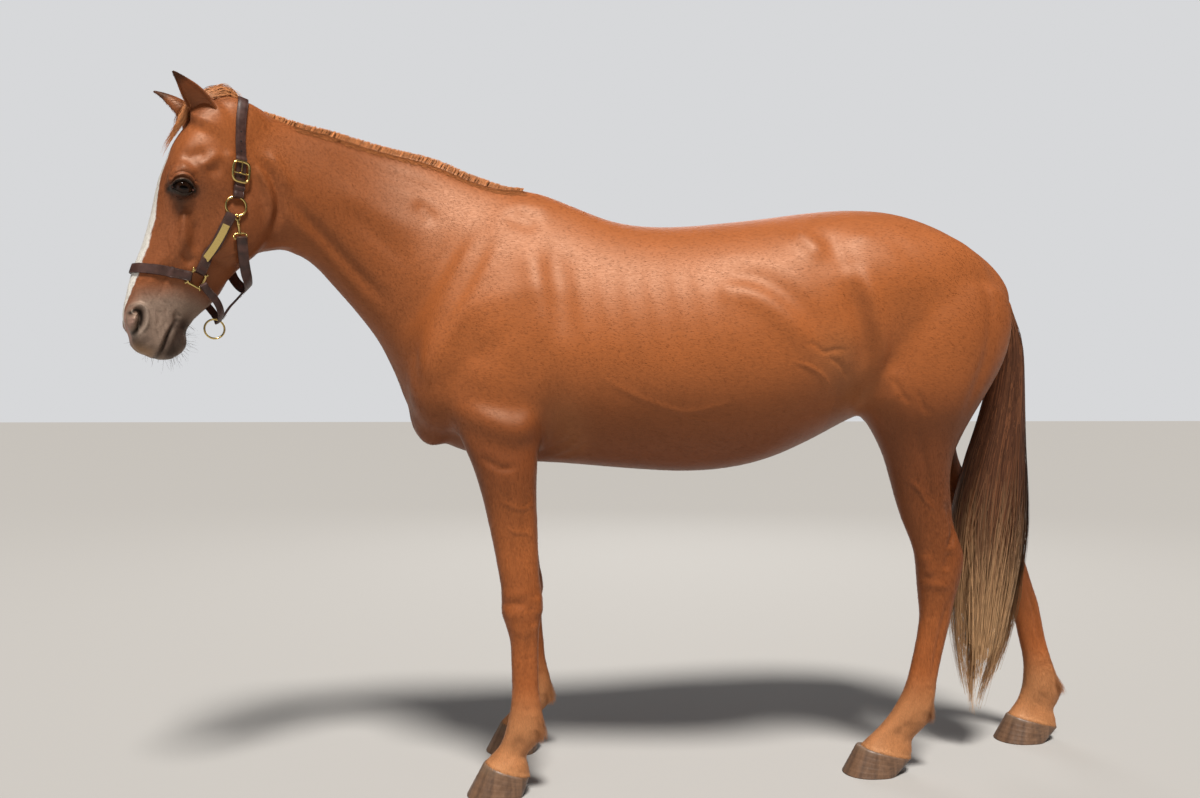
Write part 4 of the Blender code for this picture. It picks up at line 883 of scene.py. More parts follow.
def painted(points):
    """The coat's and skin's colour at straight places, with painted shade and painted highlights in
    it.
    """
    head, level = on_head(points), unshifted(points)
    down, out, across = head[:, 0], head[:, 1], np.abs(head[:, 2])
    x, z = level[:, 0], level[:, 2]
    colour = np.tile(np.array(CHESTNUT), (len(points), 1))

    def blend(target, share):
        colour[:] = mix(colour, target, np.clip(share, 0, 1)[:, None])

    def spot(path, width, places=level[:, (0, 2)]):
        return form_height(places, "dot", width, 1.0, path)

    # Painted shade: belly, neck, thighs, gaskins, between the legs, knees and hocks.
    body = down < -1
    shade_between_legs = smooth_step(-np.abs(points[:, 1]), -0.125, -0.060)
    blend(PAINTED_SHADE, 0.85 * body * smooth_step(-z, -1.12, -0.86) * smooth_step(z, 0.58, 0.86))
    blend(PAINTED_SHADE, 0.6 * body * (x > 0.2) * smooth_step(z, 0.44, 0.60)
          * smooth_step(-z, -1.15, -0.86))
    blend(PAINTED_SHADE, 0.42 * smooth_step(-x, 0.74, 0.98) * smooth_step(x, -1.30, -1.17))
    blend(PAINTED_SHADE, 0.35 * body * smooth_step(x, 0.45, 0.62) * smooth_step(-z, -1.42, -1.22))
    blend(PAINTED_SHADE, 0.7 * body * shade_between_legs * smooth_step(-z, -0.95, -0.80)
          * smooth_step(z, 0.22, 0.45))
    blend(PAINTED_SHADE, 0.35 * body * smooth_step(np.abs(z - 0.50), 0.10, 0.0))
    blend(THIN_HAIR, 0.45 * spot(((0.190, 1.110), (0.255, 1.010)), 0.065))
    blend(THIN_HAIR, 0.40 * spot(((-0.500, 0.960), (-0.470, 0.890)), 0.050))
    blend(PASTERN, 0.70 * body * smooth_step(-z, -0.290, -0.160))
    blend(PASTERN, 0.50 * body * smooth_step(-above_hooves(points), -0.030, -0.008))

    # Face, muzzle and lips, with painted shade in the nostrils and a painted highlight on their
    # rims.
    parts = {"whole": 1, "side": smooth_step(across, 0.012, 0.028), "lips": down > 0.6,
             "middle": 1 - smooth_step(across, 0.020, 0.030)}
    blend(FACE_BROWN, 0.75 * ~body * smooth_step(down, 0.10, 0.24) * smooth_step(-x, 1.17, 1.28))
    blend(FACE_BROWN, 0.5 * spot(((0.300, 0.030), (0.350, 0.040)), 0.035, head[:, :2]))
    blend(MUZZLE_GREY, smooth_step(down + 0.35 * np.minimum(0.05 - out, 0.05), 0.478, 0.545))
    for target, share, part, width, path in FACE_PAINT:
        blend(target, share * parts[part] * spot(path, width, head[:, :2]))

    # The blaze, with ragged edges.
    width = np.interp(down, *np.array(BLAZE).T, left=0, right=0)
    ragged = 0.0008 * (np.sin(down * 97) + 0.6 * np.sin(down * 263 + 1.3)
                       + 0.4 * np.sin(down * 611 + across * 300))
    blend(WHITE, smooth_step(width + ragged * (width > 0.004) - across, -0.0012, 0.0012)
          * (width > 0.001) * smooth_step(out, 0.050, 0.056))

    # Eyelids and their rims, with a painted shadow under each eye and a painted highlight on the
    # upper lid.
    _, above, gap = on_lids(head)
    eyed = smooth_step(across, 0.045, 0.055)
    blend(FACE_BROWN, 0.8 * eyed * (1 - smooth_step(gap, 0.018, 0.040)))
    blend(BLACK_SKIN_AND_SHADE, 0.55 * eyed * (1 - smooth_step(gap, 0.008, 0.020)))
    blend(BLACK_SKIN_AND_SHADE, eyed * (1 - smooth_step(gap, 0.003, 0.0085)))
    # painted shadow: a dark spot just under the eye
    blend(DARK_LIPS_AND_SHADE, 0.55 * eyed * spot(((0.285, 0.048), (0.303, 0.042)), 0.012, head[:, :2]))
    # painted highlight: a pale line along the upper lid's raised edge
    blend(RIM_HIGHLIGHT, 0.25 * eyed * np.exp(-((gap - 0.0035) / 0.0016) ** 2) * (above > 0.004))

    # Ears, dark at their tips.
    for side in (LEFT, RIGHT):
        root, _, axis, _, _ = ear_frame(side)
        up_ear = (points - root) @ axis
        in_ear = (points[:, 1] * side > 0.01) & (up_ear > 0.02)
        in_ear &= np.linalg.norm(points - root, axis=1) < 0.2
        blend(FACE_BROWN, 0.8 * in_ear * smooth_step(up_ear, 0.03, 0.08))
        blend(BLACK_SKIN_AND_SHADE, 0.75 * in_ear * smooth_step(up_ear, 0.135, 0.160))
    return colour


def add_piece(name, mesh, material, replaced=(), smooth=True):
    """A finished piece, moved to stand about the origin and fixed to the frame."""
    set_points(mesh, get_points(mesh) - STANCE)
    if smooth:
        mesh.shade_smooth()
    mesh.materials.clear()
    mesh.materials.append(material)
    piece = bpy.data.objects.new(name, mesh)
    bpy.context.scene.collection.objects.link(piece)
    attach(piece, "root")
    if replaced:
        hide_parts(*replaced)


def colour_points(mesh, colours):
    """Stores a colour at every point of a mesh."""
    layer = mesh.color_attributes.new("tint", "FLOAT_COLOR", "POINT")
    full = np.ones((len(mesh.vertices), 4))
    full[:, :3] = colours
    layer.data.foreach_set("color", full.ravel())


# Each leg has a strip of the map of its own, and ends at a height.
LEG_STRIPS = (("fore", LEFT), ("fore", RIGHT), ("hind", LEFT), ("hind", RIGHT))
LEG_TOP = 0.80


def round_leg(kind, side, points):
    """Angles of places round the line of one leg."""
    stations, table = LEGS[kind]
    heights, front, back, apart, _ = np.array(stations)[::-1].T
    z = points[:, 2]
    core = np.interp(z, heights, (front + back) / 2) + setback(table, z, side)
    return np.arctan2(points[:, 1] - side * np.interp(z, heights, apart), points[:, 0] - core)


def unwrap(places, centres):
    """Map places on a flat unwrap of the body, face corner by face corner.

    Each corner is told with the middle of its face, which picks the part of the body: head, trunk
    with neck, or one of the legs. Every part is unrolled round its own length.
    """
    middle = sum(spine_at(places[:, 0], 4, (1, 3))) / 2
    flat = np.zeros((len(places), 2))

    def lay(chosen, turn, length, box):
        about = turn(centres)[chosen]
        angle = about + (turn(places)[chosen] - about + math.pi) % (2 * math.pi) - math.pi
        left, right, low, high = box
        flat[chosen, 0] = mix(left, right, 0.03 + 0.94 * (angle / (2 * math.pi) + 0.5))
        flat[chosen, 1] = mix(low, high, 0.01 + 0.98 * np.clip(length[chosen], 0, 1))

    def round_spine(points):
        return np.arctan2(points[:, 1], points[:, 2] - middle)

    def round_head(points):
        head = on_head(points)
        return np.arctan2(head[:, 2], head[:, 1] + 0.03)

    on_face = on_head(centres)[:, 0] > 0.0
    leg = (centres[:, 2] < LEG_TOP) & ~on_face
    fore = unshifted(centres)[:, 0] < 0
    lay(~on_face & ~leg, round_spine, (places[:, 0] + 1.45) / 2.25, (0.0, 0.5, 0.0, 1.0))
    lay(on_face, round_head, (on_head(places)[:, 0] + 0.02) / 0.70, (0.5, 1.0, 0.5, 1.0))
    for row, (kind, side) in enumerate(LEG_STRIPS):
        mine = leg & (np.sign(centres[:, 1]) == side) & (fore == (kind == "fore"))
        box = (0.5 + row * 0.125, 0.625 + row * 0.125, 0.0, 0.49)
        lay(mine, partial(round_leg, kind, side), places[:, 2] / 0.82, box)
    return flat


def map_mesh(mesh, straight):
    """Gives a mesh its map from the straight places of its points."""
    corners = np.empty(len(mesh.loops), int)
    mesh.loops.foreach_get("vertex_index", corners)
    sizes = np.empty(len(mesh.polygons), int)
    mesh.polygons.foreach_get("loop_total", sizes)
    face = np.repeat(np.arange(len(sizes)), sizes)
    totals = [np.bincount(face, straight[corners, k]) for k in range(3)]
    middle = np.stack(totals, axis=1) / sizes[:, None]
    layer = mesh.uv_layers.new(name="OFBake")
    layer.data.foreach_set("uv", unwrap(straight[corners], middle[face]).ravel())


def build_skin():
    """The mesh of the one skin, with its ears, before the neck is bent."""
    mesh = shape_skin()
    points, normals = get_points(mesh), get_points(mesh, "normal")
    for side in (LEFT, RIGHT):
        root, _, axis, _, _ = ear_frame(side)
        along = (points - root) @ axis
        away = np.linalg.norm(points - root - along[:, None] * axis, axis=1)
        near = (np.abs(along) < EAR_REACH) & (away < EAR_REACH)
        full, fall = EAR_MOUND
        rise = np.where(near, np.exp(-(np.maximum(away - full, 0) / fall) ** 2), 0)
        points = points + (axis * EAR_RISE[0] + normals * EAR_RISE[1]) * rise[:, None]
    set_points(mesh, points)
    body = bmesh.new()
    body.from_mesh(mesh)
    for side in (LEFT, RIGHT):
        body.from_mesh(make_mesh("ear", [ear_body(side)]))
    body.to_mesh(mesh)
    body.free()
    return mesh


def scatter(mesh, chances, count, dice):
    """Random places on a mesh and their directions out, by each triangle's own chance."""
    mesh.calc_loop_triangles()
    corners = np.empty(len(mesh.loop_triangles) * 3, int)
    mesh.loop_triangles.foreach_get("vertices", corners)
    corners = corners.reshape(-1, 3)
    points, normals = get_points(mesh), get_points(mesh, "normal")
    a, b, c = points[corners[:, 0]], points[corners[:, 1]], points[corners[:, 2]]
    weight = np.linalg.norm(np.cross(b - a, c - a), axis=1) * chances((a + b + c) / 3)
    found = dice.choice(len(corners), count, p=weight / weight.sum())
    share = dice.random((count, 2))
    share = np.where(share.sum(axis=1, keepdims=True) > 1, 1 - share, share)
    share = np.column_stack([1 - share.sum(axis=1), share])[:, :, None]
    root = (points[corners[found]] * share).sum(axis=1)
    return root, unit((normals[corners[found]] * share).sum(axis=1))


def lie_of_coat(points):
    """The way the hair lies at straight places."""
    x, z = points[:, 0], points[:, 2]
    limb = smooth_step(-z, -1.02, -0.80) * ((x < -0.45) | (x > 0.22))
    way = np.tile(np.array([1.0, 0.0, -0.30]), (len(points), 1))
    for other, share in (((0.62, 0.0, -0.62), smooth_step(-x, 0.60, 0.95)),
                         ((0.45, 0.0, -0.90), smooth_step(x, 0.35, 0.65)),
                         ((0.10, 0.0, -1.0), limb)):
        way = mix(way, other, share[:, None])
    head = on_head(points)
    cheek = smooth_step(-head[:, 1:2], -0.02, 0.06)
    down_face = HEAD_DOWN * (1 - 0.5 * cheek) - HEAD_OUT * 0.6 * cheek
    return np.where(head[:, :1] > 0.03, down_face, way)


HAIR_ROOT = 0.0008           # how deep short hairs start under the skin
HAIR_PATCH = 0.003           # size of one hair on the map
BLADE_SHADES = (0.95, 0.95, 1.0, 1.0, 1.05)


def hair_mesh(name, straight, corners, starts, ways, colours, spots):
    """A mesh of hair from straight places, bent with the neck and lit as if it faced the ways."""
    mesh = bpy.data.meshes.new(name)
    mesh.vertices.add(len(straight))
    mesh.loops.add(len(corners))
    mesh.polygons.add(len(starts))
    mesh.loops.foreach_set("vertex_index", corners)
    mesh.polygons.foreach_set("loop_start", starts)
    mesh.vertices.foreach_set("co", bend(straight).ravel())
    mesh.update(calc_edges=True)
    colour_points(mesh, colours.reshape(-1, 3))
    layer = mesh.uv_layers.new(name="OFBake")
    layer.data.foreach_set("uv", spots.ravel())
    mesh.shade_smooth()
    mesh.normals_split_custom_set_from_vertices(ways)
    return mesh


def hairs(name, root, normal, way, length, width, lift, colour, material, dice):
    """Short flat hairs as one piece: each a blade of five points, rooted under the skin."""
    count = len(root)
    way = unit(way - normal * (way * normal).sum(axis=1, keepdims=True))
    aside = np.cross(normal, way)
    stray = dice.normal(0, 0.16, (count, 1))
    cos, sin = np.cos(stray), np.sin(stray)
    way, aside = way * cos + aside * sin, aside * cos - way * sin
    long = (length * dice.uniform(0.7, 1.25, count))[:, None]
    wide = (width * dice.uniform(0.7, 1.2, count))[:, None] / 2
    rise = (lift * dice.uniform(0.6, 1.4, count))[:, None]
    base, tip = root - normal * HAIR_ROOT, root + way * long + normal * rise
    middle = root + way * long * 0.5 + normal * rise * 0.75
    points = np.stack([base - aside * wide, base + aside * wide, middle - aside * wide * 0.8,
                       middle + aside * wide * 0.8, tip], axis=1)
    start = np.arange(count)[:, None] * 5
    corners = np.hstack([start + (1, 0, 2, 3), start + (3, 2, 4)]).ravel()
    starts = (np.arange(count)[:, None] * 7 + (0, 4)).ravel()
    shade = dice.uniform(0.93, 1.08, (count, 1, 1)) * np.array(BLADE_SHADES)[:, None]
    patch = np.array([(1, 0), (0, 0), (0, 0.5), (1, 0.5), (1, 0.5), (0, 0.5), (0.5, 1)]) - 0.5
    spots = unwrap(root, root)[:, None] + patch * HAIR_PATCH
    ways = bend_way(np.repeat(root, 5, axis=0), np.repeat(normal, 5, axis=0))
    mesh = hair_mesh(name, points.reshape(-1, 3), corners, starts, ways, colour[:, None] * shade,
                     spots)
    add_piece(name, mesh, material, smooth=False)


def ribbons(name, lines, widths, outward, colours, material, replaced):
    """Long hair as one piece of narrow ribbons, each along its own line of places."""
    count, rows = lines.shape[:2]
    aside = unit(np.cross(np.gradient(lines, axis=1), outward)) * widths[..., None] / 2
    straight = np.stack([lines - aside, lines + aside], axis=2).reshape(-1, 3)
    start = (np.arange(count) * rows * 2)[:, None] + np.arange(rows - 1) * 2
    corners = np.stack([start, start + 1, start + 3, start + 2], axis=2).ravel()
    starts = np.arange(count * (rows - 1)) * 4
    step = 1 / (rows - 1)
    low = np.arange(rows - 1)[:, None] * step
    patch = np.stack([(0, 1, 1, 0) + 0 * low, low + (0, 0, step, step)], axis=2)
    spots = unwrap(lines[:, 0], lines[:, 0])[:, None, None] + patch * HAIR_PATCH
    ways = bend_way(straight, np.repeat(outward, 2, axis=1).reshape(-1, 3))
    mesh = hair_mesh(name, straight, corners, starts, ways, np.repeat(colours, 2, axis=1), spots)
    add_piece(name, mesh, material, replaced, smooth=False)


# Hooves: toe and heel on the floor, toe and heel of the coronet (x, then z), half widths.
FORE_HOOF = (-0.742, -0.600, (-0.698, 0.082), (-0.584, 0.044), 0.064, 0.047)
HIND_HOOF = (0.258, 0.396, (0.297, 0.074), (0.440, 0.038), 0.061, 0.047)
HOOVES = {
    "fore": (FORE_HOOF, FORE_SETBACK, 0.165),
    "hind": (HIND_HOOF, HIND_SETBACK, 0.110),
}
HOOF_DEPTH = 0.003           # how deep the skin ends inside a hoof
HOOF_REACH = (0.16, 0.10)    # how far round a hoof's middle, along and across, its skin reaches
HORN_BROWN = (0.220, 0.120, 0.068)
HORN_DARK = (0.070, 0.040, 0.026)
HORN_PALE = (0.240, 0.165, 0.105)

# Tail: height, front x, back x, half width.
TAIL_STATIONS = (
    (1.345, 0.690, 0.735, 0.022),
    (1.300, 0.738, 0.780, 0.030),
    (1.240, 0.752, 0.803, 0.038),
    (1.150, 0.748, 0.823, 0.047),
    (1.050, 0.728, 0.827, 0.055),
    (0.950, 0.700, 0.829, 0.060),
    (0.850, 0.664, 0.833, 0.062),
    (0.750, 0.633, 0.840, 0.062),
    (0.650, 0.612, 0.843, 0.059),
    (0.550, 0.604, 0.836, 0.053),
    (0.450, 0.601, 0.821, 0.045),
    (0.350, 0.606, 0.798, 0.036),
    (0.250, 0.622, 0.760, 0.026),
    (0.160, 0.650, 0.712, 0.014),
    (0.085, 0.672, 0.690, 0.004),
)
TAIL_TOP = 1.345
TAIL_END = 0.085
TAIL_HAIRS = 4200
TAIL_LOCKS = 95
TAIL_ROWS = 18               # places along each hair
TAIL_CORE = 0.80             # share of the tail's thickness that its core fills

# Mane and fringe, by distances ahead of the trunk's own zero.
MANE_FROM = 1.285
MANE_TO = 0.600
MANE_LENGTH = 0.145
MANE_HAIRS = 3400
MANE_ROWS = 14
MANE_LOCKS = 55              # locks on each metre
MANE_DROP = 0.004            # how far below the crest it starts
MANE_ROOT = 0.010            # how deep its hairs are rooted
FRINGE_HAIRS = 5200
FORELOCK_HAIRS = 2600
FORELOCK_HUB = 0.085         # how far down the head its hairs turn about
FORELOCK_LOCK = 0.006        # width of its locks
WHISKERS = 170
LASHES = 300
WHISKER_BROWN = (0.10, 0.07, 0.05)
LASH_DARK = (0.020, 0.012, 0.010)

# Short hair: where the regions end, and each one's tufts, length, width and lift.
NECK_END = -0.66
HEAD_END = -1.25
CANNON_END = 0.24            # below it, hair grows thicker on the legs
COAT_RAGGED = 0.07           # how far a region's hair strays over its border
COAT_TUFTS = {
    "trunk": (56000, 0.0100, 0.0013, 0.0006),
    "neck": (40000, 0.0090, 0.0012, 0.0006),
    "head": (62000, 0.0060, 0.0008, 0.0006),
    "forelegs": (48000, 0.0075, 0.0011, 0.0009),
    "hindlegs": (56000, 0.0075, 0.0011, 0.0009),
}

IRIS_BROWN = (0.024, 0.010, 0.005)
EYE_RIM = (0.016, 0.009, 0.007)
# the pink of the corner behind is partly its own colour and partly a painted highlight
CORNER_PINKS = ((0.30, 0.13, 0.10), (0.10, 0.045, 0.035))    # behind, in front

# Halter straps, by places on the left of the head: down, out, across.
STRAP_WIDTH = 0.025
STRAP_THICK = 0.0034
STRAP_LIFT = 0.0024
HALF_UP = STRAP_LIFT + STRAP_THICK / 2
CROWN_LIFT = 0.0046
NOSE_WIDTH = 0.024
JAW_WIDTH = 0.017
CHIN_WIDTH = 0.018
FOLD = 0.0032                # how much a strap rises where it folds round a fitting
KEEPER_EXTRA = (0.0024, 0.0026)          # how much thicker and wider a keeper is
STRAP_STEP = 0.0035
STITCH_STEP = 0.0042
CROWN_HOLES = (0.050, 0.075, 0.112, 0.136, 0.162)
CROWN_PATH = ((0.242, -0.072, -0.085), (0.195, -0.066, -0.085), (0.150, -0.057, -0.083),
              (0.100, -0.043, -0.078), (0.050, -0.034, -0.066), (0.018, -0.031, -0.045),
              (-0.002, -0.031, -0.022), (-0.006, -0.031, 0.0))
CHEEK_PATH = ((0.281, -0.068, -0.085), (0.330, -0.059, -0.085), (0.385, -0.050, -0.080),
              (0.4455, -0.039, -0.073))
NOSE_PATH = ((0.4550, -0.025, -0.071), (0.457, 0.030, -0.060), (0.461, 0.070, -0.045),
             (0.465, 0.098, -0.022), (0.466, 0.104, 0.0))
THROAT_PATH = ((0.329, -0.101, -0.089), (0.368, -0.116, -0.083), (0.398, -0.131, -0.072),
               (0.420, -0.147, -0.050), (0.430, -0.156, -0.025), (0.432, -0.158, 0.0))
CHIN_PATH = ((0.464, -0.047, -0.0725), (0.474, -0.058, -0.070), (0.490, -0.086, -0.058),
             (0.507, -0.104, -0.042), (0.520, -0.112, -0.024), (0.531, -0.114, -0.006))
JAW_PATH = ((0.4380, -0.1525, 0.0), (0.466, -0.140, 0.0), (0.488, -0.129, 0.0),
            (0.512, -0.1215, 0.0), (0.527, -0.116, 0.0))
PLATE_SHARE = 0.66           # of the strap's width
PLATE_MARGINS = (0.030, 0.034)
RING_PLACE = (0.262, -0.073, -0.085)
RING_RADIUS = 0.0235
WIRE = 0.0031                # radius of the rings' and squares' wire
BUCKLE_WIRE = 0.0035
LEAD_RING_WIRE = 0.0024
SQUARE_PLACE = (0.4575, -0.037, -0.070)
SQUARE_HALF = 0.0170
BUCKLE_PLACE = (0.178, -0.062, -0.084)
BUCKLE_HALF = (0.0205, 0.0245)
LEAD_RING_PLACE = (0.552, -0.112, 0.0)
SNAP_TOP = (0.292, -0.084, -0.088)
SNAP_END = (0.322, -0.097, -0.088)
THROAT_TO_RING = ((0.307, -0.092, 0.0885), (0.286, -0.083, 0.0875))
STRAP_COLUMNS = np.linspace(-0.5, 0.5, 7)
# A strap's upper side from edge to edge: share of the width, share of the thickness.
STRAP_TOP = ((-0.500, 0.30), (-0.490, 0.70), (-0.462, 0.95), (-0.420, 1.00), (-0.390, 0.93),
             (-0.360, 1.00), (-0.15, 1.03), (0.15, 1.03), (0.360, 1.00), (0.390, 0.93),
             (0.420, 1.00), (0.462, 0.95), (0.490, 0.70), (0.500, 0.30))


def coronet(hoof, table, side):
    """The toe and heel of a hoof's top, and how far back this leg stands."""
    shift = setback(table, 0.03, side)
    (toe_x, toe_z), (heel_x, heel_z) = hoof[2:4]
    return np.array([toe_x + shift, 0, toe_z]), np.array([heel_x + shift, 0, heel_z]), shift


def hoof_body(hoof, table, side, apart):
    """A hoof from its flat sole up to the sloping coronet, ringed by its growth."""
    toe, heel, shift = coronet(hoof, table, side)
    floor_toe, floor_heel = np.array([hoof[0] + shift, 0, 0]), np.array([hoof[1] + shift, 0, 0])
    rings = []
    for part in np.concatenate([(0.0,), np.linspace(0.012, 0.94, 36), (0.965, 0.985, 1.0)]):
        front, back = mix(floor_toe, toe, part), mix(floor_heel, heel, part)
        half = np.linalg.norm(back - front) / 2
        middle = (front + back) / 2 + ACROSS * side * apart
        worn = 0.0014 * (part < 0.005)
        ringed = 0.00016 * math.sin(part * 38) + 0.00010 * math.sin(part * 71 + side)
        inset = worn - ringed * (0.02 < part < 0.93) + 0.0016 * smooth_step(part, 0.95, 1.0)
        rings.append(oval(middle, (back - front) / (2 * half), ACROSS, half - inset, half - inset,
                          mix(hoof[4], hoof[5], part) - inset, 3.0, 2.1, 72))
    return loft(rings), middle


def build_hooves(material):
    """Four hooves of streaked horn."""
    for word, side in SIDES.items():
        for kind, (hoof, table, apart) in HOOVES.items():
            body, middle = hoof_body(hoof, table, side, apart)
            name = f"hoof_{kind}_{word}"
            mesh = make_mesh(name + "_look", [body])
            points = get_points(mesh)
            angle = np.arctan2(points[:, 1] - middle[1], points[:, 0] - middle[0])
            height = points[:, 2:] / 0.08
            streak = sum(np.sin(angle * k + k * side) / 3 for k in (7, 17, 31))[:, None]
            growth = 0.5 + 0.5 * np.sin(height * 24 + 0.5 * np.sin(angle * 3)[:, None])
            share = np.clip(0.42 + 0.40 * streak + 0.10 * growth, 0, 1)
            colour = mix(HORN_BROWN, HORN_DARK, share)
            colour_points(mesh, mix(colour, HORN_PALE, smooth_step(height, 0.62, 0.98) * 0.35))
            add_piece(name + "_look", mesh, material, [name])


def build_eyes(material):
    """Two dark brown eyes with level pupils."""
    iris, edge = 0.80, 0.86          # angles from the middle of the look
    for word, side in SIDES.items():
        places, faces = egg((0, 0, 0), np.eye(3) * EYE_RADIUS, 96)
        look = unit(np.append(EYE_MIDDLE - EYE_PLACE[:2], 0.9 * EYE_RADIUS))
        spots = places / EYE_RADIUS
        far = np.arccos(np.clip(spots @ look, -1, 1))
        flat = (spots[:, :2] - look[:2]) @ np.stack([EYE_ALONG, EYE_UP], axis=1)
        fibre = 0.5 + 0.5 * np.sin(np.arctan2(flat[:, 1], flat[:, 0]) * 46 + 9 * far)
        brown = np.array(IRIS_BROWN) * (0.7 + 0.6 * fibre[:, None])
        colour = np.where(far[:, None] < iris, brown, np.array(EYE_RIM))
        colour = colour * (1 - 0.9 * np.exp(-((far - edge) / 0.05) ** 2)[:, None])
        pupil = smooth_step(1.0 - np.hypot(flat[:, 0] / 0.36, flat[:, 1] / 0.20), -0.10, 0.10)
        colour = colour * (1 - 0.96 * pupil[:, None])
        bulge = 1 + 0.028 * smooth_step(edge - far, 0.0, 0.35)
        points = from_head((EYE_PLACE + places * bulge[:, None]) * (1, 1, side))
        mesh = make_mesh("eye_look_" + word, [(points, faces)])
        colour_points(mesh, colour)
        set_points(mesh, bend(points))
        add_piece(mesh.name, mesh, material, ["eye_" + word])


def build_corners(material):
    """The wet corners of the eyes; the pink of the one behind is partly its own colour and partly a
    painted highlight.
    """
    pieces, colours = [], []
    for side in (LEFT, RIGHT):
        for corner, colour in zip(EYE_CORNERS, CORNER_PINKS):
            down, out = mix(EYE_MIDDLE, corner, 0.86)
            reach = math.dist((down, out), EYE_PLACE[:2])
            across = EYE_PLACE[2] + math.sqrt(max(EYE_RADIUS ** 2 - reach ** 2, 0)) - 0.0012
            centre = head_point(down, out, side * across)
            axes = (HEAD_DOWN * 0.0022, ACROSS * 0.0022, HEAD_OUT * 0.0034)
            pieces.append(egg(centre, axes, 24))
            colours.append(np.tile(colour, (len(pieces[-1][0]), 1)))
    mesh = make_mesh("eye_corners", pieces)
    colour_points(mesh, np.vstack(colours))
    set_points(mesh, bend(get_points(mesh)))
    add_piece("eye_corners", mesh, material)


def tail_lines(dice):
    """Lines of the tail's hairs, gathered in locks that part towards the tips."""
    count = TAIL_HAIRS
    stations = refine(TAIL_STATIONS, 4)[::-1]
    lock_angle = dice.uniform(0, 2 * math.pi, TAIL_LOCKS)
    lock_reach = np.sqrt(dice.uniform(0.25, 1.0, TAIL_LOCKS))
    lock_end = dice.triangular(TAIL_END, 0.30, 0.62, TAIL_LOCKS)
    lock = dice.integers(0, TAIL_LOCKS, count)
    angle = lock_angle[lock] + dice.normal(0, 0.42, count)
    reach = np.clip(lock_reach[lock] + dice.normal(0, 0.16, count), 0.1, 1.0)
    start = TAIL_TOP - 0.40 * dice.random(count) ** 1.6
    end = np.clip(lock_end[lock] + dice.exponential(0.07, count), TAIL_END, start - 0.25)
    part = np.linspace(0, 1, TAIL_ROWS)
    z = start[:, None] + (end - start)[:, None] * part
    front, back, width = (np.interp(z, stations[:, 0], stations[:, k]) for k in (1, 2, 3))
    gather = smooth_step(part, 0.35, 1.0)[None, :]
    angle = mix(angle[:, None], lock_angle[lock, None], 0.75 * gather)
    reach = mix(reach[:, None], lock_reach[lock, None], 0.75 * gather)
    wave = 0.05 * np.sin(part * 9 + lock[:, None] * 2.1)
    wave += 0.03 * np.sin(part * 23 + lock[:, None] * 1.3)
    reach = reach * (0.45 + 0.55 * smooth_step(part, 0.0, 0.18)) + wave * gather
    x = (front + back) / 2 + (back - front) / 2 * reach * np.cos(angle)
    y = width * reach * np.sin(angle)
    stray = dice.normal(0, 1, (count, 2, 1)) * smooth_step(part, 0.5, 1.0) ** 2 * 0.004
    out = np.stack([np.cos(angle), np.sin(angle), np.zeros_like(angle)], axis=2)
    return np.stack([x + stray[:, 0], y + stray[:, 1], z], axis=2), out, lock


def build_tail(material, dice):
    """The tail: a slim core under long hairs that pale towards their tips."""
    lines, out, lock = tail_lines(dice)
    each = (TAIL_HAIRS, 1, 1)
    part = np.linspace(0, 1, TAIL_ROWS)
    widths = dice.uniform(0.0016, 0.0034, TAIL_HAIRS)[:, None] * (1 - 0.75 * part ** 2.5)
    height = lines[..., 2:]
    tone = dice.uniform(-0.10, 0.10, each) + 0.04 * np.sin(lock)[:, None, None]
    pale = smooth_step(-(height + tone), -0.80, -0.24) ** 1.2
    brown = smooth_step(dice.random(each), 0.45, 1.0)
    brown = np.maximum(brown * 0.7, smooth_step(height, 1.12, 1.30))
    colours = mix(mix(TAIL_DARK, TAIL_BROWN, brown), FLAXEN, pale)
    colours = mix(colours, CHESTNUT, smooth_step(height, 1.24, 1.33))
    colours = colours * dice.uniform(0.75, 1.2, each)
    ribbons("tail_hair", lines, widths, out, colours, material, ["tail"])
    rings = []
    for height, front, back, width in refine(TAIL_STATIONS, 2):
        slim = TAIL_CORE * smooth_step(height, 0.28, 0.75)
        half = (back - front) / 2 * slim + 0.0005
        rings.append(oval(((front + back) / 2, 0, height), ALONG, ACROSS, half, half,
                          width * slim + 0.0005, 2.0, 2.0, 32))
    core = make_mesh("tail_core", [loft(rings[:-8])])
    height = get_points(core)[:, 2:]
    colours = mix(TAIL_DARK, np.array(FLAXEN) * 0.7, smooth_step(-height, -0.80, -0.26))
    colour_points(core, mix(colours, CHESTNUT, smooth_step(height, 1.20, 1.32)))
    set_points(core, bend(get_points(core)))
    add_piece("tail_core", core, material)


def read_grid(grid, *sides):
    """What a grid says between its marks, for each side's values and even marks."""
    places = []
    for values, marks in sides:
        place = (values - marks[0]) / (marks[-1] - marks[0]) * (len(marks) - 1)
        places.append(np.clip(place, 0, len(marks) - 1.001))
    row, column = (place.astype(int) for place in places)
    shape = row.shape + (1,) * (grid.ndim - 2)
    a, b = (places[0] - row).reshape(shape), (places[1] - column).reshape(shape)
    upper = mix(grid[row, column], grid[row, column + 1], b)
    lower = mix(grid[row + 1, column], grid[row + 1, column + 1], b)
    return mix(upper, lower, a)


def crest_rows(reach, tree, drops):
    """Places on the right of the neck and the ways out, for rows down from the crest."""
    found, out = [], []
    for where in reach:
        top_x, top_z, low_x, low_z = spine_at(-where, 8, range(4))
        top = np.array([top_x, 0, top_z])
        down = unit(np.array([low_x, 0, low_z]) - top)
        for drop in drops:
            start = top + down * drop + ACROSS * 0.4
            hit, normal, _, _ = tree.ray_cast(Vector(start), Vector(-ACROSS), 0.5)
            found.append(np.array(hit) if hit else top + down * drop)
            out.append(np.array(normal) if hit else UP)
    shape = (len(reach), len(drops), 3)
    return np.reshape(found, shape), np.reshape(out, shape)


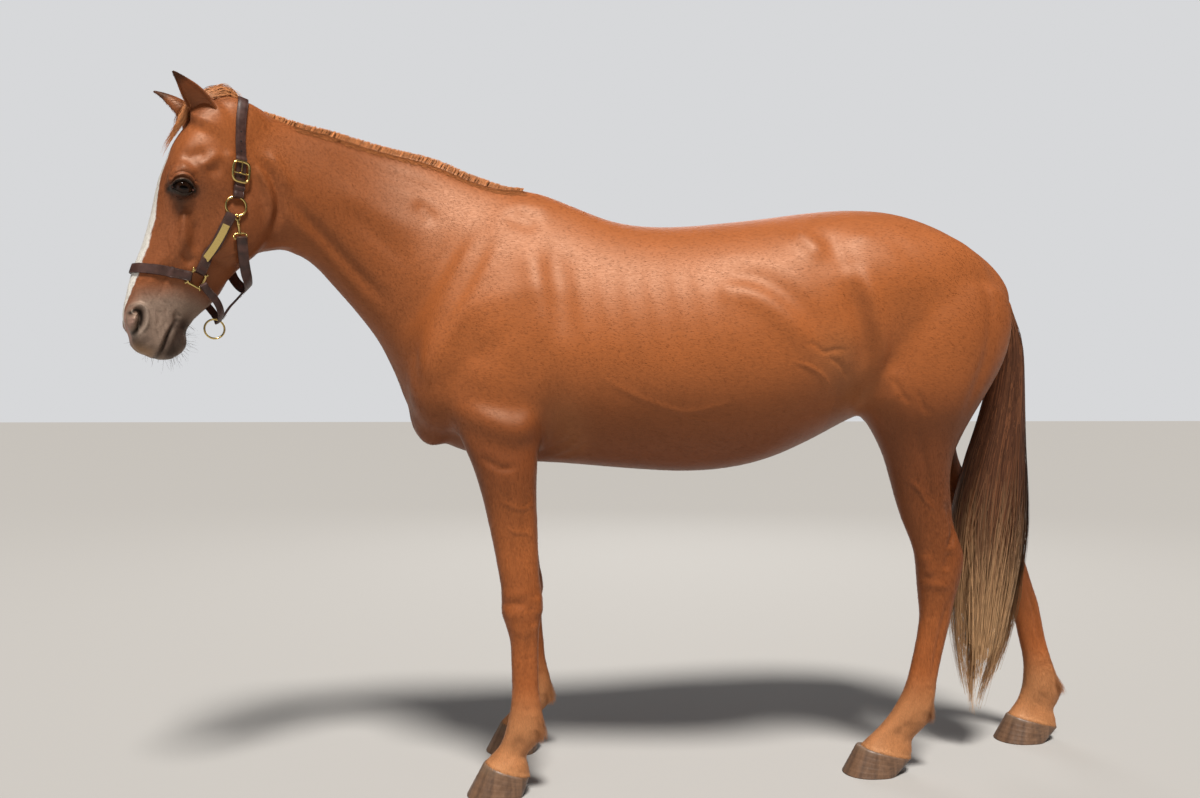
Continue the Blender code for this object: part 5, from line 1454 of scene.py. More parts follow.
def hair_colours(part, rooted, share, tone):
    """Mane colours along hairs, redder over the first stretch from their roots."""
    root = (1 - smooth_step(part, 0.0, rooted))[None, :, None] * share
    return mix(MANE_TAN, CHESTNUT, root) * tone


def build_mane(material, tree, dice):
    """The mane, which falls to the right of the crest."""
    count = MANE_HAIRS
    reach = np.linspace(MANE_FROM + 0.03, MANE_TO - 0.02, 60)
    drops = np.linspace(MANE_DROP, 0.19, 16)
    places, outs = crest_rows(reach, tree, drops)
    where = dice.uniform(MANE_TO, MANE_FROM, count)
    locks = np.round(where * MANE_LOCKS) / MANE_LOCKS
    fade = np.clip((where - MANE_TO) / 0.22 + 0.22, 0.2, 1.0)
    jag = 0.80 + 0.20 * np.sin(locks * 61) * np.sin(locks * 23)
    length = MANE_LENGTH * fade * jag * dice.uniform(0.75, 1.12, count)
    part = np.linspace(0, 1, MANE_ROWS)
    drop = MANE_DROP + length[:, None] * part
    gather = smooth_step(part, 0.2, 1.0)
    drift = where[:, None] + (locks - where)[:, None] * 0.7 * gather
    drift += 0.015 * gather * (1 + np.sin(locks * 40))[:, None]
    line, out = (read_grid(grid, (drift, reach), (drop, drops)) for grid in (places, outs))
    out = unit(out)
    arch = np.sin(np.clip(part * 2.6, 0, math.pi / 2)) * (1 - 0.35 * part)
    lift = dice.uniform(0.0015, 0.0110, count)[:, None] * arch
    ends = smooth_step(MANE_FROM - where, -0.01, 0.05) * smooth_step(where - MANE_TO, 0.0, 0.12)
    line = line + out * (lift * (0.25 + 0.75 * ends[:, None]))[..., None]
    # The first three rows root each hair in the crest, raise it and turn it over.
    line[:, 0, 1] = dice.normal(-0.004, 0.0035, count)
    rise = dice.uniform(0.003, 0.009, count) * (0.3 + 0.7 * ends)
    line[:, 1] = line[:, 0] + np.stack([0.004 + rise, 0.002 + 0 * rise, 0.001 + rise], axis=1)
    line[:, 0, 2] -= MANE_ROOT
    out[:, 0] = (0.0, -0.92, 0.40)
    out[:, 1] = (0.0, -0.30, 0.95)
    line[:, 2] += UP * rise[:, None] * 0.6
    out[:, 2] = unit(out[:, 2] + UP)
    widths = dice.uniform(0.0010, 0.0020, count)[:, None] * (1 - 0.7 * part ** 2)
    colours = hair_colours(part, 0.35, 0.3, dice.uniform(0.60, 1.25, (count, 1, 1)))
    ribbons("mane_hair", line, widths, out, colours, material, ["mane"])


def build_fringe(mesh, material, dice):
    """The short hair that stands along the crest on its left side."""
    def crest(points):
        top, = spine_at(points[:, 0], 4, (1,))
        along = (points[:, 0] < -0.60) & (points[:, 0] > -1.21)
        return along & (points[:, 2] > top - 0.022) & (points[:, 1] < -0.006)

    count = FRINGE_HAIRS
    root, normal = scatter(mesh, crest, count, dice)
    way = normal * 0.3 + (0.50, -0.20, -0.55)
    colour = (np.array(MANE_TAN) + CHESTNUT) * dice.uniform(0.30, 0.60, (count, 1))
    long = dice.uniform(0.010, 0.022, count)
    hairs("mane_fringe", root, normal, way, long, 0.0013, 0.0012, colour, material, dice)


def build_forelock(material, tree, dice):
    """The forelock: hair from the poll that rises over it and falls forward between the ears.

    Its places are told by an angle round a hub inside the head and a lane across it.
    """
    count, hub = FORELOCK_HAIRS, FORELOCK_HUB
    angles, lanes = np.radians(np.linspace(-40, 150, 39)), np.linspace(-0.05, 0.05, 11)
    reach = np.zeros((len(angles), len(lanes)))
    for r, angle in enumerate(angles):
        way = HEAD_OUT * math.sin(angle) - HEAD_DOWN * math.cos(angle)
        for c, lane in enumerate(lanes):
            start = head_point(hub, 0.0, lane)
            hit, _, _, _ = tree.ray_cast(Vector(start + way * 0.30), Vector(-way), 0.30)
            reach[r, c] = (np.array(hit) - start) @ way if hit else hub
    part = np.linspace(0, 1, MANE_ROWS)
    across = dice.normal(0, 0.010, count)
    lock = np.round(across / FORELOCK_LOCK) * FORELOCK_LOCK
    start = dice.uniform(-24, 50, count)
    turn = dice.triangular(35, 68, 92, count) * (1 - 0.25 * np.abs(lock) / 0.03)
    angle = np.radians(start[:, None] + turn[:, None] * part)
    lane = across[:, None] + (lock - across)[:, None] * 0.6 * part
    lane += 0.5 * lock[:, None] * part ** 2
    surface = read_grid(reach, (angle, angles), (lane, lanes))
    arch = np.sin(np.clip(part * 1.2, 0, 1) * math.pi)
    arch = arch * dice.triangular(0.004, 0.016, 0.034, count)[:, None]
    stray = 0.012 * part ** 1.5 + 0.014 * dice.random(count)[:, None] ** 2 * part ** 2
    radius = surface - 0.001 + arch * np.exp(-(lane / 0.022) ** 2) + stray
    out = HEAD_OUT * np.sin(angle)[..., None] - HEAD_DOWN * np.cos(angle)[..., None]
    lines = head_point(hub, 0.0, 0.0) + out * radius[..., None] + ACROSS * lane[..., None]
    out = unit(out * 0.5 + ACROSS * (np.sign(across)[:, None] * 0.6 + lane * 15)[..., None])
    widths = dice.uniform(0.0008, 0.0015, count)[:, None] * (1 - 0.75 * part ** 2)
    colours = hair_colours(part, 0.3, 0.5, dice.uniform(0.65, 1.20, (count, 1, 1)))
    ribbons("forelock_hair", lines, widths, out, colours, material, ["forelock"])


def even_steps(path, step):
    """Points at even steps along a smooth curve through the path."""
    curve = refine(path, 12)
    travel = lengths_along(curve)
    count = max(int(round(travel[-1] / step)), 2)
    wanted = np.linspace(0, travel[-1], count + 1)
    return np.array([np.interp(wanted, travel, curve[:, k]) for k in range(3)]).T


def on_skin(point, skin):
    """The nearest place on the skin and its outward direction."""
    place, normal, _, _ = skin.find_nearest(Vector(point))
    return np.array(place), np.array(normal)


def eased(rows, rounds):
    """Rows drawn towards their neighbours, but for the first and the last."""
    for _ in range(rounds):
        rows[1:-1] = (rows[:-2] + rows[1:-1] * 2 + rows[2:]) / 4
    return rows


def strap(path, width, skin, lift, snug, ends, keepers):
    """A strap as a closed body, and its run: middle line, ways across and out, and travel.

    Its ends can be raised by a height, where they fold round a fitting. A keeper is a narrow loop
    round it, told by its distance from the start.
    """
    line = even_steps(bend(np.array([head_point(*place) for place in path])), STRAP_STEP)
    found = [on_skin(point, skin) for point in line]
    normals = unit(eased(np.array([normal for _, normal in found]), 10))
    if snug:
        line = np.array([place for place, _ in found])
    line = eased(line, 4)
    ahead = np.gradient(line, axis=0)
    across = unit(np.cross(ahead, normals))
    normals = unit(np.cross(across, ahead))
    rises = np.zeros((len(line), len(STRAP_COLUMNS)))
    if snug:
        for k, share in enumerate(STRAP_COLUMNS):
            edge = line + across * width * share
            hits = np.array([on_skin(point, skin)[0] for point in edge])
            rises[:, k] = np.maximum(((hits - edge) * normals).sum(axis=1), -0.002)
        rises = eased(rises, 6)
        rises[:, 1:-1] = np.maximum(rises[:, 1:-1], (rises[:, :-2] + rises[:, 2:]) / 2)
    travel = lengths_along(line)
    shares, heights = np.array(STRAP_TOP).T
    rings = []
    for k, point in enumerate(line):
        thick, wide = STRAP_THICK, width
        for distance, extra in zip((travel[k], travel[-1] - travel[k]), ends):
            if extra:
                thick += extra * (1 - smooth_step(distance, 0.008, 0.022))
                thick += 0.0013 * (1 - smooth_step(distance, 0.040, 0.0425))
                tip = min(distance / 0.004, 1.0)
                thick *= 0.35 + 0.65 * math.sqrt(1 - (1 - tip) ** 2)
        for place in keepers:
            here = 1 - smooth_step(abs(travel[k] - place), 0.0038, 0.0050)
            thick, wide = thick + KEEPER_EXTRA[0] * here, wide + KEEPER_EXTRA[1] * here
        lower = rises[k] + lift
        upper = np.interp(shares, STRAP_COLUMNS, rises[k]) + lift + thick * heights
        top = point + np.outer(shares * wide, across[k]) + np.outer(upper, normals[k])
        base = point + np.outer(STRAP_COLUMNS * wide, across[k]) + np.outer(lower, normals[k])
        rings.append(np.vstack([top, base[::-1]]))
    return loft(rings), (line, across, normals, travel)


def stitches(run, spans, width, height):
    """Two rows of thread stitches along parts of a strap."""
    line, across, normals, travel = run
    found = []
    for start, stop in spans:
        for where in np.arange(start, stop, STITCH_STEP):
            k = np.searchsorted(travel, where)
            if not 0 < k < len(line) - 1:
                continue
            ahead = unit(line[k + 1] - line[k - 1])
            axes = (ahead * 0.0015, across[k] * 0.00045, normals[k] * 0.0006)
            for share in (-0.39, 0.39):
                centre = line[k] + across[k] * width * share + normals[k] * height
                found.append(egg(centre, axes, 8))
    return found


def tube(points, radius, facing, closed=True, sides=14, flat=1.0):
    """Metal wire along a path. The section lies flat towards one direction, if wanted."""
    points = np.array(points, float)
    if closed:
        ahead = np.roll(points, -1, axis=0) - np.roll(points, 1, axis=0)
    else:
        ahead = np.gradient(points, axis=0)
    radii = np.broadcast_to(np.asarray(radius, float), len(points))
    rings = []
    for point, way, size in zip(points, ahead, radii):
        aside = unit(np.cross(way, facing))
        out = unit(np.cross(aside, way))
        rings.append(oval(point, out, aside, size * flat, size * flat, size, 2.0, 2.0, sides))
    return loft(rings, closed)


def hoop(centre, right, up, half_width, half_height, power=2.0, count=56):
    """Points round a ring or a rounded frame."""
    return oval(centre, up, right, half_height, half_height, half_width, power, power, count)


def bead(centre, radius, around=14):
    """A small ball."""
    return egg(centre, np.eye(3) * radius, around)


def surface_frame(place, toward, skin, lift):
    """A place above the skin, with directions along the skin towards another place and out."""
    start, normal = on_skin(bend(head_point(*place)), skin)
    ahead = on_skin(bend(head_point(*toward)), skin)[0] - start
    ahead = unit(ahead - normal * (ahead @ normal))
    return start + normal * lift, ahead, np.cross(normal, ahead), normal


def smooth_piece(name, pieces, material, replaced=(), angle=40.0):
    """A finished piece of several bodies, with smooth sides and crisp edges."""
    mesh = make_mesh(name, pieces)
    add_piece(name, mesh, material, replaced)
    mesh.set_sharp_from_angle(angle=math.radians(angle))


def square_bodies(place, toward, skin):
    """A square of wire with horned corners."""
    centre, ahead, aside, out = surface_frame(place, toward, skin, HALF_UP)
    pieces = [tube(hoop(centre, aside, ahead, SQUARE_HALF, SQUARE_HALF, 6.0), WIRE, out)]
    for a in (-1, 1):
        for b in (-1, 1):
            corner = centre + (aside * a + ahead * b) * SQUARE_HALF * 0.90
            horn = corner + (ahead * b * 0.25 + aside * a * 0.35) * 0.013
            path = [corner, (corner + horn) / 2, horn]
            pieces += [tube(path, (WIRE, WIRE * 0.95, WIRE * 0.7), out, False),
                       bead(horn, WIRE * 0.85)]
    return pieces


def buckle_bodies(skin):
    """A buckle's frame, bar and prong."""
    over = CROWN_LIFT + STRAP_THICK + 0.0026
    centre, ahead, aside, out = surface_frame(BUCKLE_PLACE, CROWN_PATH[0], skin, over)
    wide, tall = BUCKLE_HALF
    hinge = centre + ahead * 0.004
    prong = [hinge + out * 0.0012, centre - ahead * tall * 0.5 + out * 0.0024,
             centre - ahead * (tall + 0.0006) + out * 0.0020]
    bar = [hinge - aside * wide, hinge, hinge + aside * wide]
    return [tube(hoop(centre, aside, ahead, wide, tall, 3.6), BUCKLE_WIRE, out, flat=0.8),
            tube(bar, 0.0017, out, False), tube(prong, (0.0016, 0.0015, 0.0012), out, False)]


def plate_bodies(run):
    """A bare nameplate along a cheek strap, with its four rivets."""
    line, _, normals, travel = run
    inside = (travel > PLATE_MARGINS[0]) & (travel < travel[-1] - PLATE_MARGINS[1])
    reach = travel[inside] - travel[inside].mean()
    curves = [np.polyfit(reach, line[inside, k], 2) for k in range(3)]
    out = normals[inside].mean(axis=0)
    half = STRAP_WIDTH * PLATE_SHARE / 2
    low = STRAP_LIFT + STRAP_THICK + 0.0014
    rings, places = [], []
    for where in np.linspace(reach[0], reach[-1], 33):
        spot = np.array([np.polyval(curve, where) for curve in curves])
        ahead = np.array([np.polyval(np.polyder(curve), where) for curve in curves])
        aside = unit(np.cross(ahead, out))
        face = unit(np.cross(aside, ahead))
        edge = min((reach[-1] - abs(where)) / 0.0020, 1.0)
        wide = half - 0.0020 * (1 - edge) ** 2
        corners = ((-wide, -0.0016), (-wide, 0.0008), (-wide + 0.0005, 0.0012),
                   (wide - 0.0005, 0.0012), (wide, 0.0008), (wide, -0.0016))
        rings.append(np.array([spot + aside * a + face * (low + b) for a, b in corners]))
        places.append((spot, aside, face))
    plate = [loft(rings)]
    for spot, aside, face in (places[2], places[-3]):
        for share in (-0.60, 0.60):
            centre = spot + aside * half * share + face * (low + 0.0013)
            axes = (np.cross(aside, face) * 0.0013, aside * 0.0013, face * 0.0006)
            plate.append(egg(centre, axes, 14))
    return plate


def snap_bodies(skin):
    """The throat strap's snap: its body, swivel, button and wide eye."""
    lift = HALF_UP + 0.002
    top, _, _, out = surface_frame(SNAP_TOP, SNAP_END, skin, lift)
    end, _, _, _ = surface_frame(SNAP_END, SNAP_TOP, skin, lift)
    ahead, long = unit(end - top), math.dist(top, end)
    aside = np.cross(out, ahead)
    path = [top + ahead * long * part for part in (0.0, 0.15, 0.35, 0.60, 0.85, 1.0)]
    loop = end + ahead * 0.0075
    return [tube(path, (0.0030, 0.0036, 0.0040, 0.0030, 0.0027, 0.0030), out, False, flat=0.8),
            tube(hoop(top - ahead * 0.0045, aside, ahead, 0.0052, 0.0066, count=32), 0.0020, out),
            bead(top + ahead * long * 0.42 + out * 0.0036, 0.0021, 16),
            tube(hoop(loop, aside, ahead, 0.0150, 0.0062, 4.0, 40), 0.0020, out),
            bead(loop - aside * 0.0150, 0.0030), bead(loop + aside * 0.0150, 0.0030)]


def build_halter(skin, leather, brass, thread, hole_shade):
    """Straps, fittings, stitching and a bare nameplate."""
    threads = []

    def on_side(path, side):
        return [(down, out, -side * across) for down, out, across in path]

    def band(name, path, sewn, width=STRAP_WIDTH, lift=STRAP_LIFT, snug=True, both=False,
             ends=(FOLD, FOLD), keepers=(), beyond=()):
        full = list(path)
        if both:
            full += on_side(path[-2::-1], RIGHT)
        body, run = strap(full + list(beyond), width, skin, lift, snug, ends, keepers)
        smooth_piece(name + "_look", [body], leather, [name])
        spans = [(start, stop) if start > 0 else (run[3][-1] + start, run[3][-1] + stop)
                 for start, stop in sewn]
        threads.extend(stitches(run, spans, width, lift + STRAP_THICK + 0.0012))
        return run

    line, across, normals, travel = band(
        "halter_crown_strap", CROWN_PATH, ((0.010, 0.034), (-0.040, -0.010)), lift=CROWN_LIFT,
        both=True, keepers=(0.026, 0.094))
    band("halter_noseband", NOSE_PATH, ((0.010, 0.038), (-0.038, -0.010)), NOSE_WIDTH, both=True,
         keepers=(0.0445,))
    band("halter_throat_strap", THROAT_PATH, ((0.010, 0.034), (-0.034, -0.010)), snug=False,
         both=True, beyond=THROAT_TO_RING)
    band("halter_jaw_strap", JAW_PATH, ((0.006, 0.020), (-0.020, -0.006)), JAW_WIDTH, snug=False,
         ends=(0.0, 0.0))
    # The crown strap's holes are flat near-black discs on its top: painted shade for the holes.
    holes = []
    for where in CROWN_HOLES:
        k = np.searchsorted(travel, where)
        spot = line[k] + normals[k] * (CROWN_LIFT + STRAP_THICK + 0.00012)
        ahead = np.cross(normals[k], across[k])
        holes.append(egg(spot, (ahead * 0.0022, across[k] * 0.0022, normals[k] * 0.0004), 20))
    cheeks = {}
    for word, side in SIDES.items():
        cheek = on_side(CHEEK_PATH, side)
        cheeks[side] = band("halter_cheek_strap_" + word, cheek, ((0.010, 0.034), (-0.036, -0.010)))
        band("halter_chin_strap_" + word, on_side(CHIN_PATH, side), ((0.008, 0.030),), CHIN_WIDTH,
             snug=False, ends=(FOLD, 0.0))
        place, square = on_side([RING_PLACE, SQUARE_PLACE], side)
        centre, ahead, aside, out = surface_frame(place, cheek[0], skin, HALF_UP)
        ring = tube(hoop(centre, aside, ahead, RING_RADIUS, RING_RADIUS), WIRE, out)
        smooth_piece("halter_ring_look_" + word, [ring], brass, ["halter_ring_" + word])
        pieces = square_bodies(square, on_side(NOSE_PATH, side)[0], skin)
        smooth_piece("halter_square_look_" + word, pieces, brass, ["halter_square_" + word])
    smooth_piece("halter_buckle_look", buckle_bodies(skin), brass, ["halter_buckle"])
    smooth_piece("halter_nameplate_look", plate_bodies(cheeks[LEFT]), brass, ["halter_nameplate"],
                 25.0)
    centre = bend(head_point(*LEAD_RING_PLACE))
    forward = unit(bend(head_point(*LEAD_RING_PLACE) - ALONG * 0.01) - centre)
    ring = tube(hoop(centre, forward, UP, RING_RADIUS, RING_RADIUS), LEAD_RING_WIRE,
                np.cross(forward, UP))
    smooth_piece("halter_lead_ring_look", [ring], brass, ["halter_lead_ring"])
    smooth_piece("halter_snap_look", snap_bodies(skin), brass, ["halter_snap"])
    smooth_piece("halter_stitches", threads, thread, angle=180)
    smooth_piece("halter_holes", holes, hole_shade, angle=180)


FLESH = ("head", "neck", "trunk", "foreleg_left", "foreleg_right", "hindleg_left", "hindleg_right",
         "ear_left", "ear_right")
HAIR_SHINE = (1.0, 0.80, 0.62, 1.0)
SHEEN_TINT = (1.0, 0.62, 0.38, 1.0)
LEATHER_BROWNS = ((0.040, 0.016, 0.012, 1.0), (0.085, 0.036, 0.027, 1.0))    # oiled, worn
BRASS_YELLOW = (0.700, 0.520, 0.190)
THREAD_BROWN = (0.16, 0.10, 0.07)
# painted shade: near-black standing for the depth of the straps' holes
HOLE_SHADE = (0.006, 0.004, 0.003)


def set_inputs(tree, node, inputs):
    """Sets numbers on a node's inputs by name, and links the outputs of other nodes to them."""
    for name, value in inputs.items():
        socket = node.inputs[name.replace("_", " ")]
        if isinstance(value, bpy.types.NodeSocket):
            tree.links.new(value, socket)
        else:
            socket.default_value = value


def add_node(tree, kind, output, **inputs):
    """One output of a new node with its inputs set."""
    node = tree.nodes.new("ShaderNode" + kind)
    set_inputs(tree, node, inputs)
    return node.outputs[output]


def new_material(name, roughness, colour=None, **inputs):
    """A Principled material, its tree and its shader."""
    material = bpy.data.materials.new(name)
    material.use_nodes = True
    tree = material.node_tree
    shader = tree.nodes["Principled BSDF"]
    if colour:
        inputs["Base_Color"] = (*colour, 1.0)
    set_inputs(tree, shader, {"Roughness": roughness, **inputs})
    return material, tree, shader


def noise(tree, scale, stretch=(1.0, 1.0, 1.0), detail=3.0, rough=0.55):
    """Noise in the piece's own space, with a scale along each axis; returns its value."""
    place = add_node(tree, "TexCoord", "Object")
    place = add_node(tree, "Mapping", "Vector", Vector=place, Scale=stretch)
    return add_node(tree, "TexNoise", "Fac", Vector=place, Scale=scale, Detail=detail,
                    Roughness=rough)


def remap(tree, value, to_low, to_high, low=0.3, high=0.7):
    """A value moved from one range to another."""
    return add_node(tree, "MapRange", "Result", Value=value, From_Min=low, From_Max=high,
                    To_Min=to_low, To_Max=to_high)


def tinted(tree, shade):
    """The piece's stored colour, made lighter or darker by a value."""
    tint = tree.nodes.new("ShaderNodeAttribute")
    tint.attribute_name = "tint"
    scaled = tree.nodes.new("ShaderNodeVectorMath")
    scaled.operation = "SCALE"
    set_inputs(tree, scaled, {"Vector": tint.outputs["Color"], "Scale": shade})
    return scaled.outputs["Vector"]


def relief(tree, height, strength, distance):
    """Small relief from a value."""
    return add_node(tree, "Bump", "Normal", Height=height, Strength=strength, Distance=distance)


def coat_material():
    """Short glossy hair over skin, with the lie of the hair as streaks and relief."""
    material, tree, shader = new_material(
        "coat", 0.48, Sheen_Weight=0.05, Sheen_Roughness=0.35, Sheen_Tint=SHEEN_TINT,
        Specular_IOR_Level=0.42, Specular_Tint=HAIR_SHINE)
    back = noise(tree, 1.0, (70.0, 420.0, 420.0))
    down = noise(tree, 1.0, (420.0, 420.0, 110.0))
    place = add_node(tree, "TexCoord", "Object")
    height = add_node(tree, "SeparateXYZ", "Z", Vector=place)
    upper = remap(tree, height, 0.0, 1.0, 0.80, 1.05)
    hair = add_node(tree, "Mix", "Result", Factor=upper, A=down, B=back)
    patches = noise(tree, 9.0, detail=4.0)
    shade = tree.nodes.new("ShaderNodeMath")
    shade.operation = "MULTIPLY"
    tree.links.new(remap(tree, hair, 0.86, 1.12), shade.inputs[0])
    tree.links.new(remap(tree, patches, 0.95, 1.05), shade.inputs[1])
    set_inputs(tree, shader, {"Base_Color": tinted(tree, shade.outputs["Value"]),
                              "Roughness": remap(tree, hair, 0.53, 0.43),
                              "Normal": relief(tree, hair, 0.22, 0.0012)})
    return material


def hair_material():
    """Long hair."""
    material, tree, shader = new_material("long_hair", 0.42, Specular_IOR_Level=0.25,
                                          Specular_Tint=HAIR_SHINE)
    streak = noise(tree, 1.0, (300.0, 300.0, 14.0))
    set_inputs(tree, shader, {"Base_Color": tinted(tree, remap(tree, streak, 0.80, 1.20))})
    return material


def horn_material():
    """Hoof horn, worn smooth in places."""
    material, tree, shader = new_material("horn", 0.45, Specular_IOR_Level=0.45)
    streak = noise(tree, 1.0, (240.0, 240.0, 30.0), 4.0)
    dust = noise(tree, 60.0, detail=4.0)
    set_inputs(tree, shader, {"Base_Color": tinted(tree, remap(tree, streak, 0.85, 1.15)),
                              "Roughness": remap(tree, dust, 0.32, 0.60, 0.35, 0.65),
                              "Normal": relief(tree, streak, 0.12, 0.0006)})
    return material


def eye_material():
    """A wet dark eye."""
    material, tree, shader = new_material("eye", 0.05, Coat_Weight=0.15, Specular_IOR_Level=0.15)
    fleck = noise(tree, 900.0)
    set_inputs(tree, shader, {"Base_Color": tinted(tree, remap(tree, fleck, 0.85, 1.15))})
    return material


def leather_material():
    """Oiled brown leather with a fine grain."""
    material, tree, shader = new_material("leather", 0.42)
    grain = noise(tree, 700.0, detail=4.0, rough=0.6)
    worn = noise(tree, 45.0)
    ramp = tree.nodes.new("ShaderNodeValToRGB")
    for end, place, colour in zip(ramp.color_ramp.elements, (0.35, 0.70), LEATHER_BROWNS):
        end.position, end.color = place, colour
    set_inputs(tree, ramp, {"Fac": worn})
    set_inputs(tree, shader, {"Base_Color": ramp.outputs["Color"],
                              "Roughness": remap(tree, worn, 0.36, 0.52),
                              "Normal": relief(tree, grain, 0.30, 0.0004)})
    return material


def brass_material():
    """Brushed and slightly worn brass."""
    material, tree, shader = new_material("brass", 0.22, BRASS_YELLOW, Metallic=1.0)
    wear = noise(tree, 160.0, detail=4.0)
    set_inputs(tree, shader, {"Roughness": remap(tree, wear, 0.20, 0.28)})
    return material


def hoof_tops():
    """For each hoof: its side, the middle of its top and the way up from it."""
    for hoof, table, apart in HOOVES.values():
        for side in (LEFT, RIGHT):
            toe, heel, _ = coronet(hoof, table, side)
            up = np.cross(ACROSS, unit(heel - toe))
            yield side, (toe + heel) / 2 + ACROSS * side * apart, up * np.sign(up[2])


def flatten_into_hooves(mesh):
    """Brings the skin's legs to an end just inside the hooves."""
    points = get_points(mesh)
    for _, middle, up in hoof_tops():
        near = (np.abs(points[:, :2] - middle[:2]) < HOOF_REACH).all(axis=1)
        near &= points[:, 2] < 0.16
        height = (points - middle) @ up
        low = near & (height < -HOOF_DEPTH)
        points[low] -= np.outer(height[low] + HOOF_DEPTH, up)
        rim = near & (height > -0.0045) & (height < 0.012)
        swell = 0.0015 * np.exp(-((height[rim] - 0.004) / 0.004) ** 2)
        points[rim] += unit((points[rim] - middle) * (1, 1, 0.3)) * swell[:, None]
    set_points(mesh, points)


def above_hooves(points):
    """How far each place is above the plane of its own hoof's top."""
    found = np.full(len(points), 9.0)
    for side, middle, up in hoof_tops():
        near = np.abs(points[:, 0] - middle[0]) < HOOF_REACH[0]
        near &= np.sign(points[:, 1]) == side
        near &= points[:, 2] < 0.25
        found[near] = (points[near] - middle) @ up
    return found


def bare(points):
    """Where no hair grows: eyes, nostrils, lips' edges and under the hooves' tops."""
    head = on_head(points)
    _, _, gap = on_lids(head)
    places, across = head[:, :2], np.abs(head[:, 2])
    eye = (gap < 0.0035) & (across > 0.045) & (head[:, 0] > 0)
    nostril = form_height(places, "dot", 0.010, 1.0, FACE_FORMS["nostril"][3]) > 0.3
    nostril &= across > 0.010
    mouth = form_height(places, "dot", 0.004, 1.0, MOUTH) > 0.3
    return eye | nostril | mouth | (above_hooves(points) < 0.001)


def growth(word, points):
    """How thickly the hair of one region grows at each place."""
    speckle = np.abs(np.sin(points @ (129.0, 782.0, 377.0)) * 4375.85) % 1
    ragged = points + COAT_RAGGED * (speckle[:, None] - 0.5)
    x, body = ragged[:, 0], ragged[:, 2] >= LEG_TOP
    fore = unshifted(ragged)[:, 0] < 0.0
    limb = ~body & (np.abs(ragged[:, 1]) > 0.02)
    aside, z = np.abs(points[:, 1]), points[:, 2]
    jaw = on_head(points)[:, 1] < -0.10
    zone, *thicker = {
        "trunk": (body & (x > NECK_END), (aside < 0.05, 2.0), (z < 0.92, 1.6)),
        "neck": (body & (x <= NECK_END) & (x > HEAD_END), (aside < 0.03, 2.2)),
        "head": (x <= HEAD_END, (jaw, 1.8), (z > 1.76, 3.0)),
        "forelegs": (limb & fore, (z < CANNON_END, 2.5)),
        "hindlegs": (limb & ~fore, (z < CANNON_END, 2.5)),
    }[word]
    chance = 1.0 * (zone & ~bare(points))
    for where, times in thicker:
        chance = chance * np.where(where, times, 1.0)
    return chance


def build_coat(mesh, material, dice):
    """Tufts of short hair over the skin, in one piece for each region."""
    for word, (count, length, width, lift) in COAT_TUFTS.items():
        root, normal = scatter(mesh, partial(growth, word), count, dice)
        height = above_hooves(root)
        cuff = np.exp(-(height / 0.012) ** 2)
        behind = (root[:, 2] < CANNON_END) * smooth_step(normal[:, 0], 0.3, 0.8)
        heel = np.exp(-(height / 0.020) ** 2) * smooth_step(normal[:, 0], 0.1, 0.7)
        ergot = behind * np.exp(-((root[:, 2] - 0.168) / 0.018) ** 2)
        long = length * (1 + 0.9 * cuff * (1 - heel) + 0.8 * behind * (1 - heel) + 3.0 * ergot)
        colour = painted(root) * dice.uniform(0.95, 1.05, (count, 1))
        hairs("coat_" + word, root, normal, lie_of_coat(root), long, width, lift + 0.010 * ergot,
              colour, material, dice)


def build_feelers(mesh, material, dice):
    """Whiskers on lips and chin, and lashes on the upper lids."""
    def lips(points):
        head = on_head(points)
        muzzle = (head[:, 0] > 0.555) & (head[:, 1] < 0.055) & (head[:, 1] > -0.065)
        return muzzle * ~bare(points) * (1 + 5.0 * (head[:, 1] < -0.02))

    def lids(points):
        head = on_head(points)
        _, above, gap = on_lids(head)
        rim = (gap > 0.0002) & (gap < 0.0030) & (above > 0.004)
        return rim & (np.abs(head[:, 2]) > 0.05) & (head[:, 0] > 0)

    count = WHISKERS
    root, normal = scatter(mesh, lips, count, dice)
    way = normal + HEAD_DOWN * 0.4 + dice.normal(0, 0.25, (count, 3))
    long = dice.uniform(0.012, 0.034, count)
    hairs("whiskers", root, normal, way, long * 0.35, 0.0006, long,
          np.tile(WHISKER_BROWN, (count, 1)), material, dice)
    count = LASHES
    root, normal = scatter(mesh, lids, count, dice)
    way = HEAD_DOWN * 0.45 + ACROSS * np.sign(root[:, 1:2]) + dice.normal(0, 0.15, (count, 3))
    long = dice.uniform(0.008, 0.014, count)
    hairs("lashes", root, normal, way, long * 0.8, 0.0005, long * 0.6,
          np.tile(LASH_DARK, (count, 1)), material, dice)


FLOOR_SIZE = 160.0
FLOOR_GREY = (0.42, 0.41, 0.395)
SUN_DIRECTION = (-0.03, 0.50, -1.0)
SUN_POWER = 4.7
SUN_SPREAD = math.radians(14.0)
SUN_COLOUR = (1.0, 0.96, 0.91)
# Round lamps, aimed at the middle of the horse: place, size, power, colour.
LAMPS = {
    "fill": ((-4.2, -4.2, 2.2), 3.6, 20.0, (0.94, 0.96, 1.0)),
    "rim": ((1.0, 4.8, 3.8), 3.0, 60.0, (0.97, 0.98, 1.0)),
}
LAMP_AIM = (0.0, 0.0, 0.95)
SKY_COLOUR = (0.97, 0.98, 1.0, 1.0)
SKY_LIGHT, SKY_SEEN = 0.08, 0.70         # how bright it shines, and how bright it looks
CAMERA_PLACE = (-0.380, -2.714, 0.973)
CAMERA_TURN = (90.63, 0.0, -5.7)
CAMERA_LENS, CAMERA_SENSOR = 30.0, 36.0


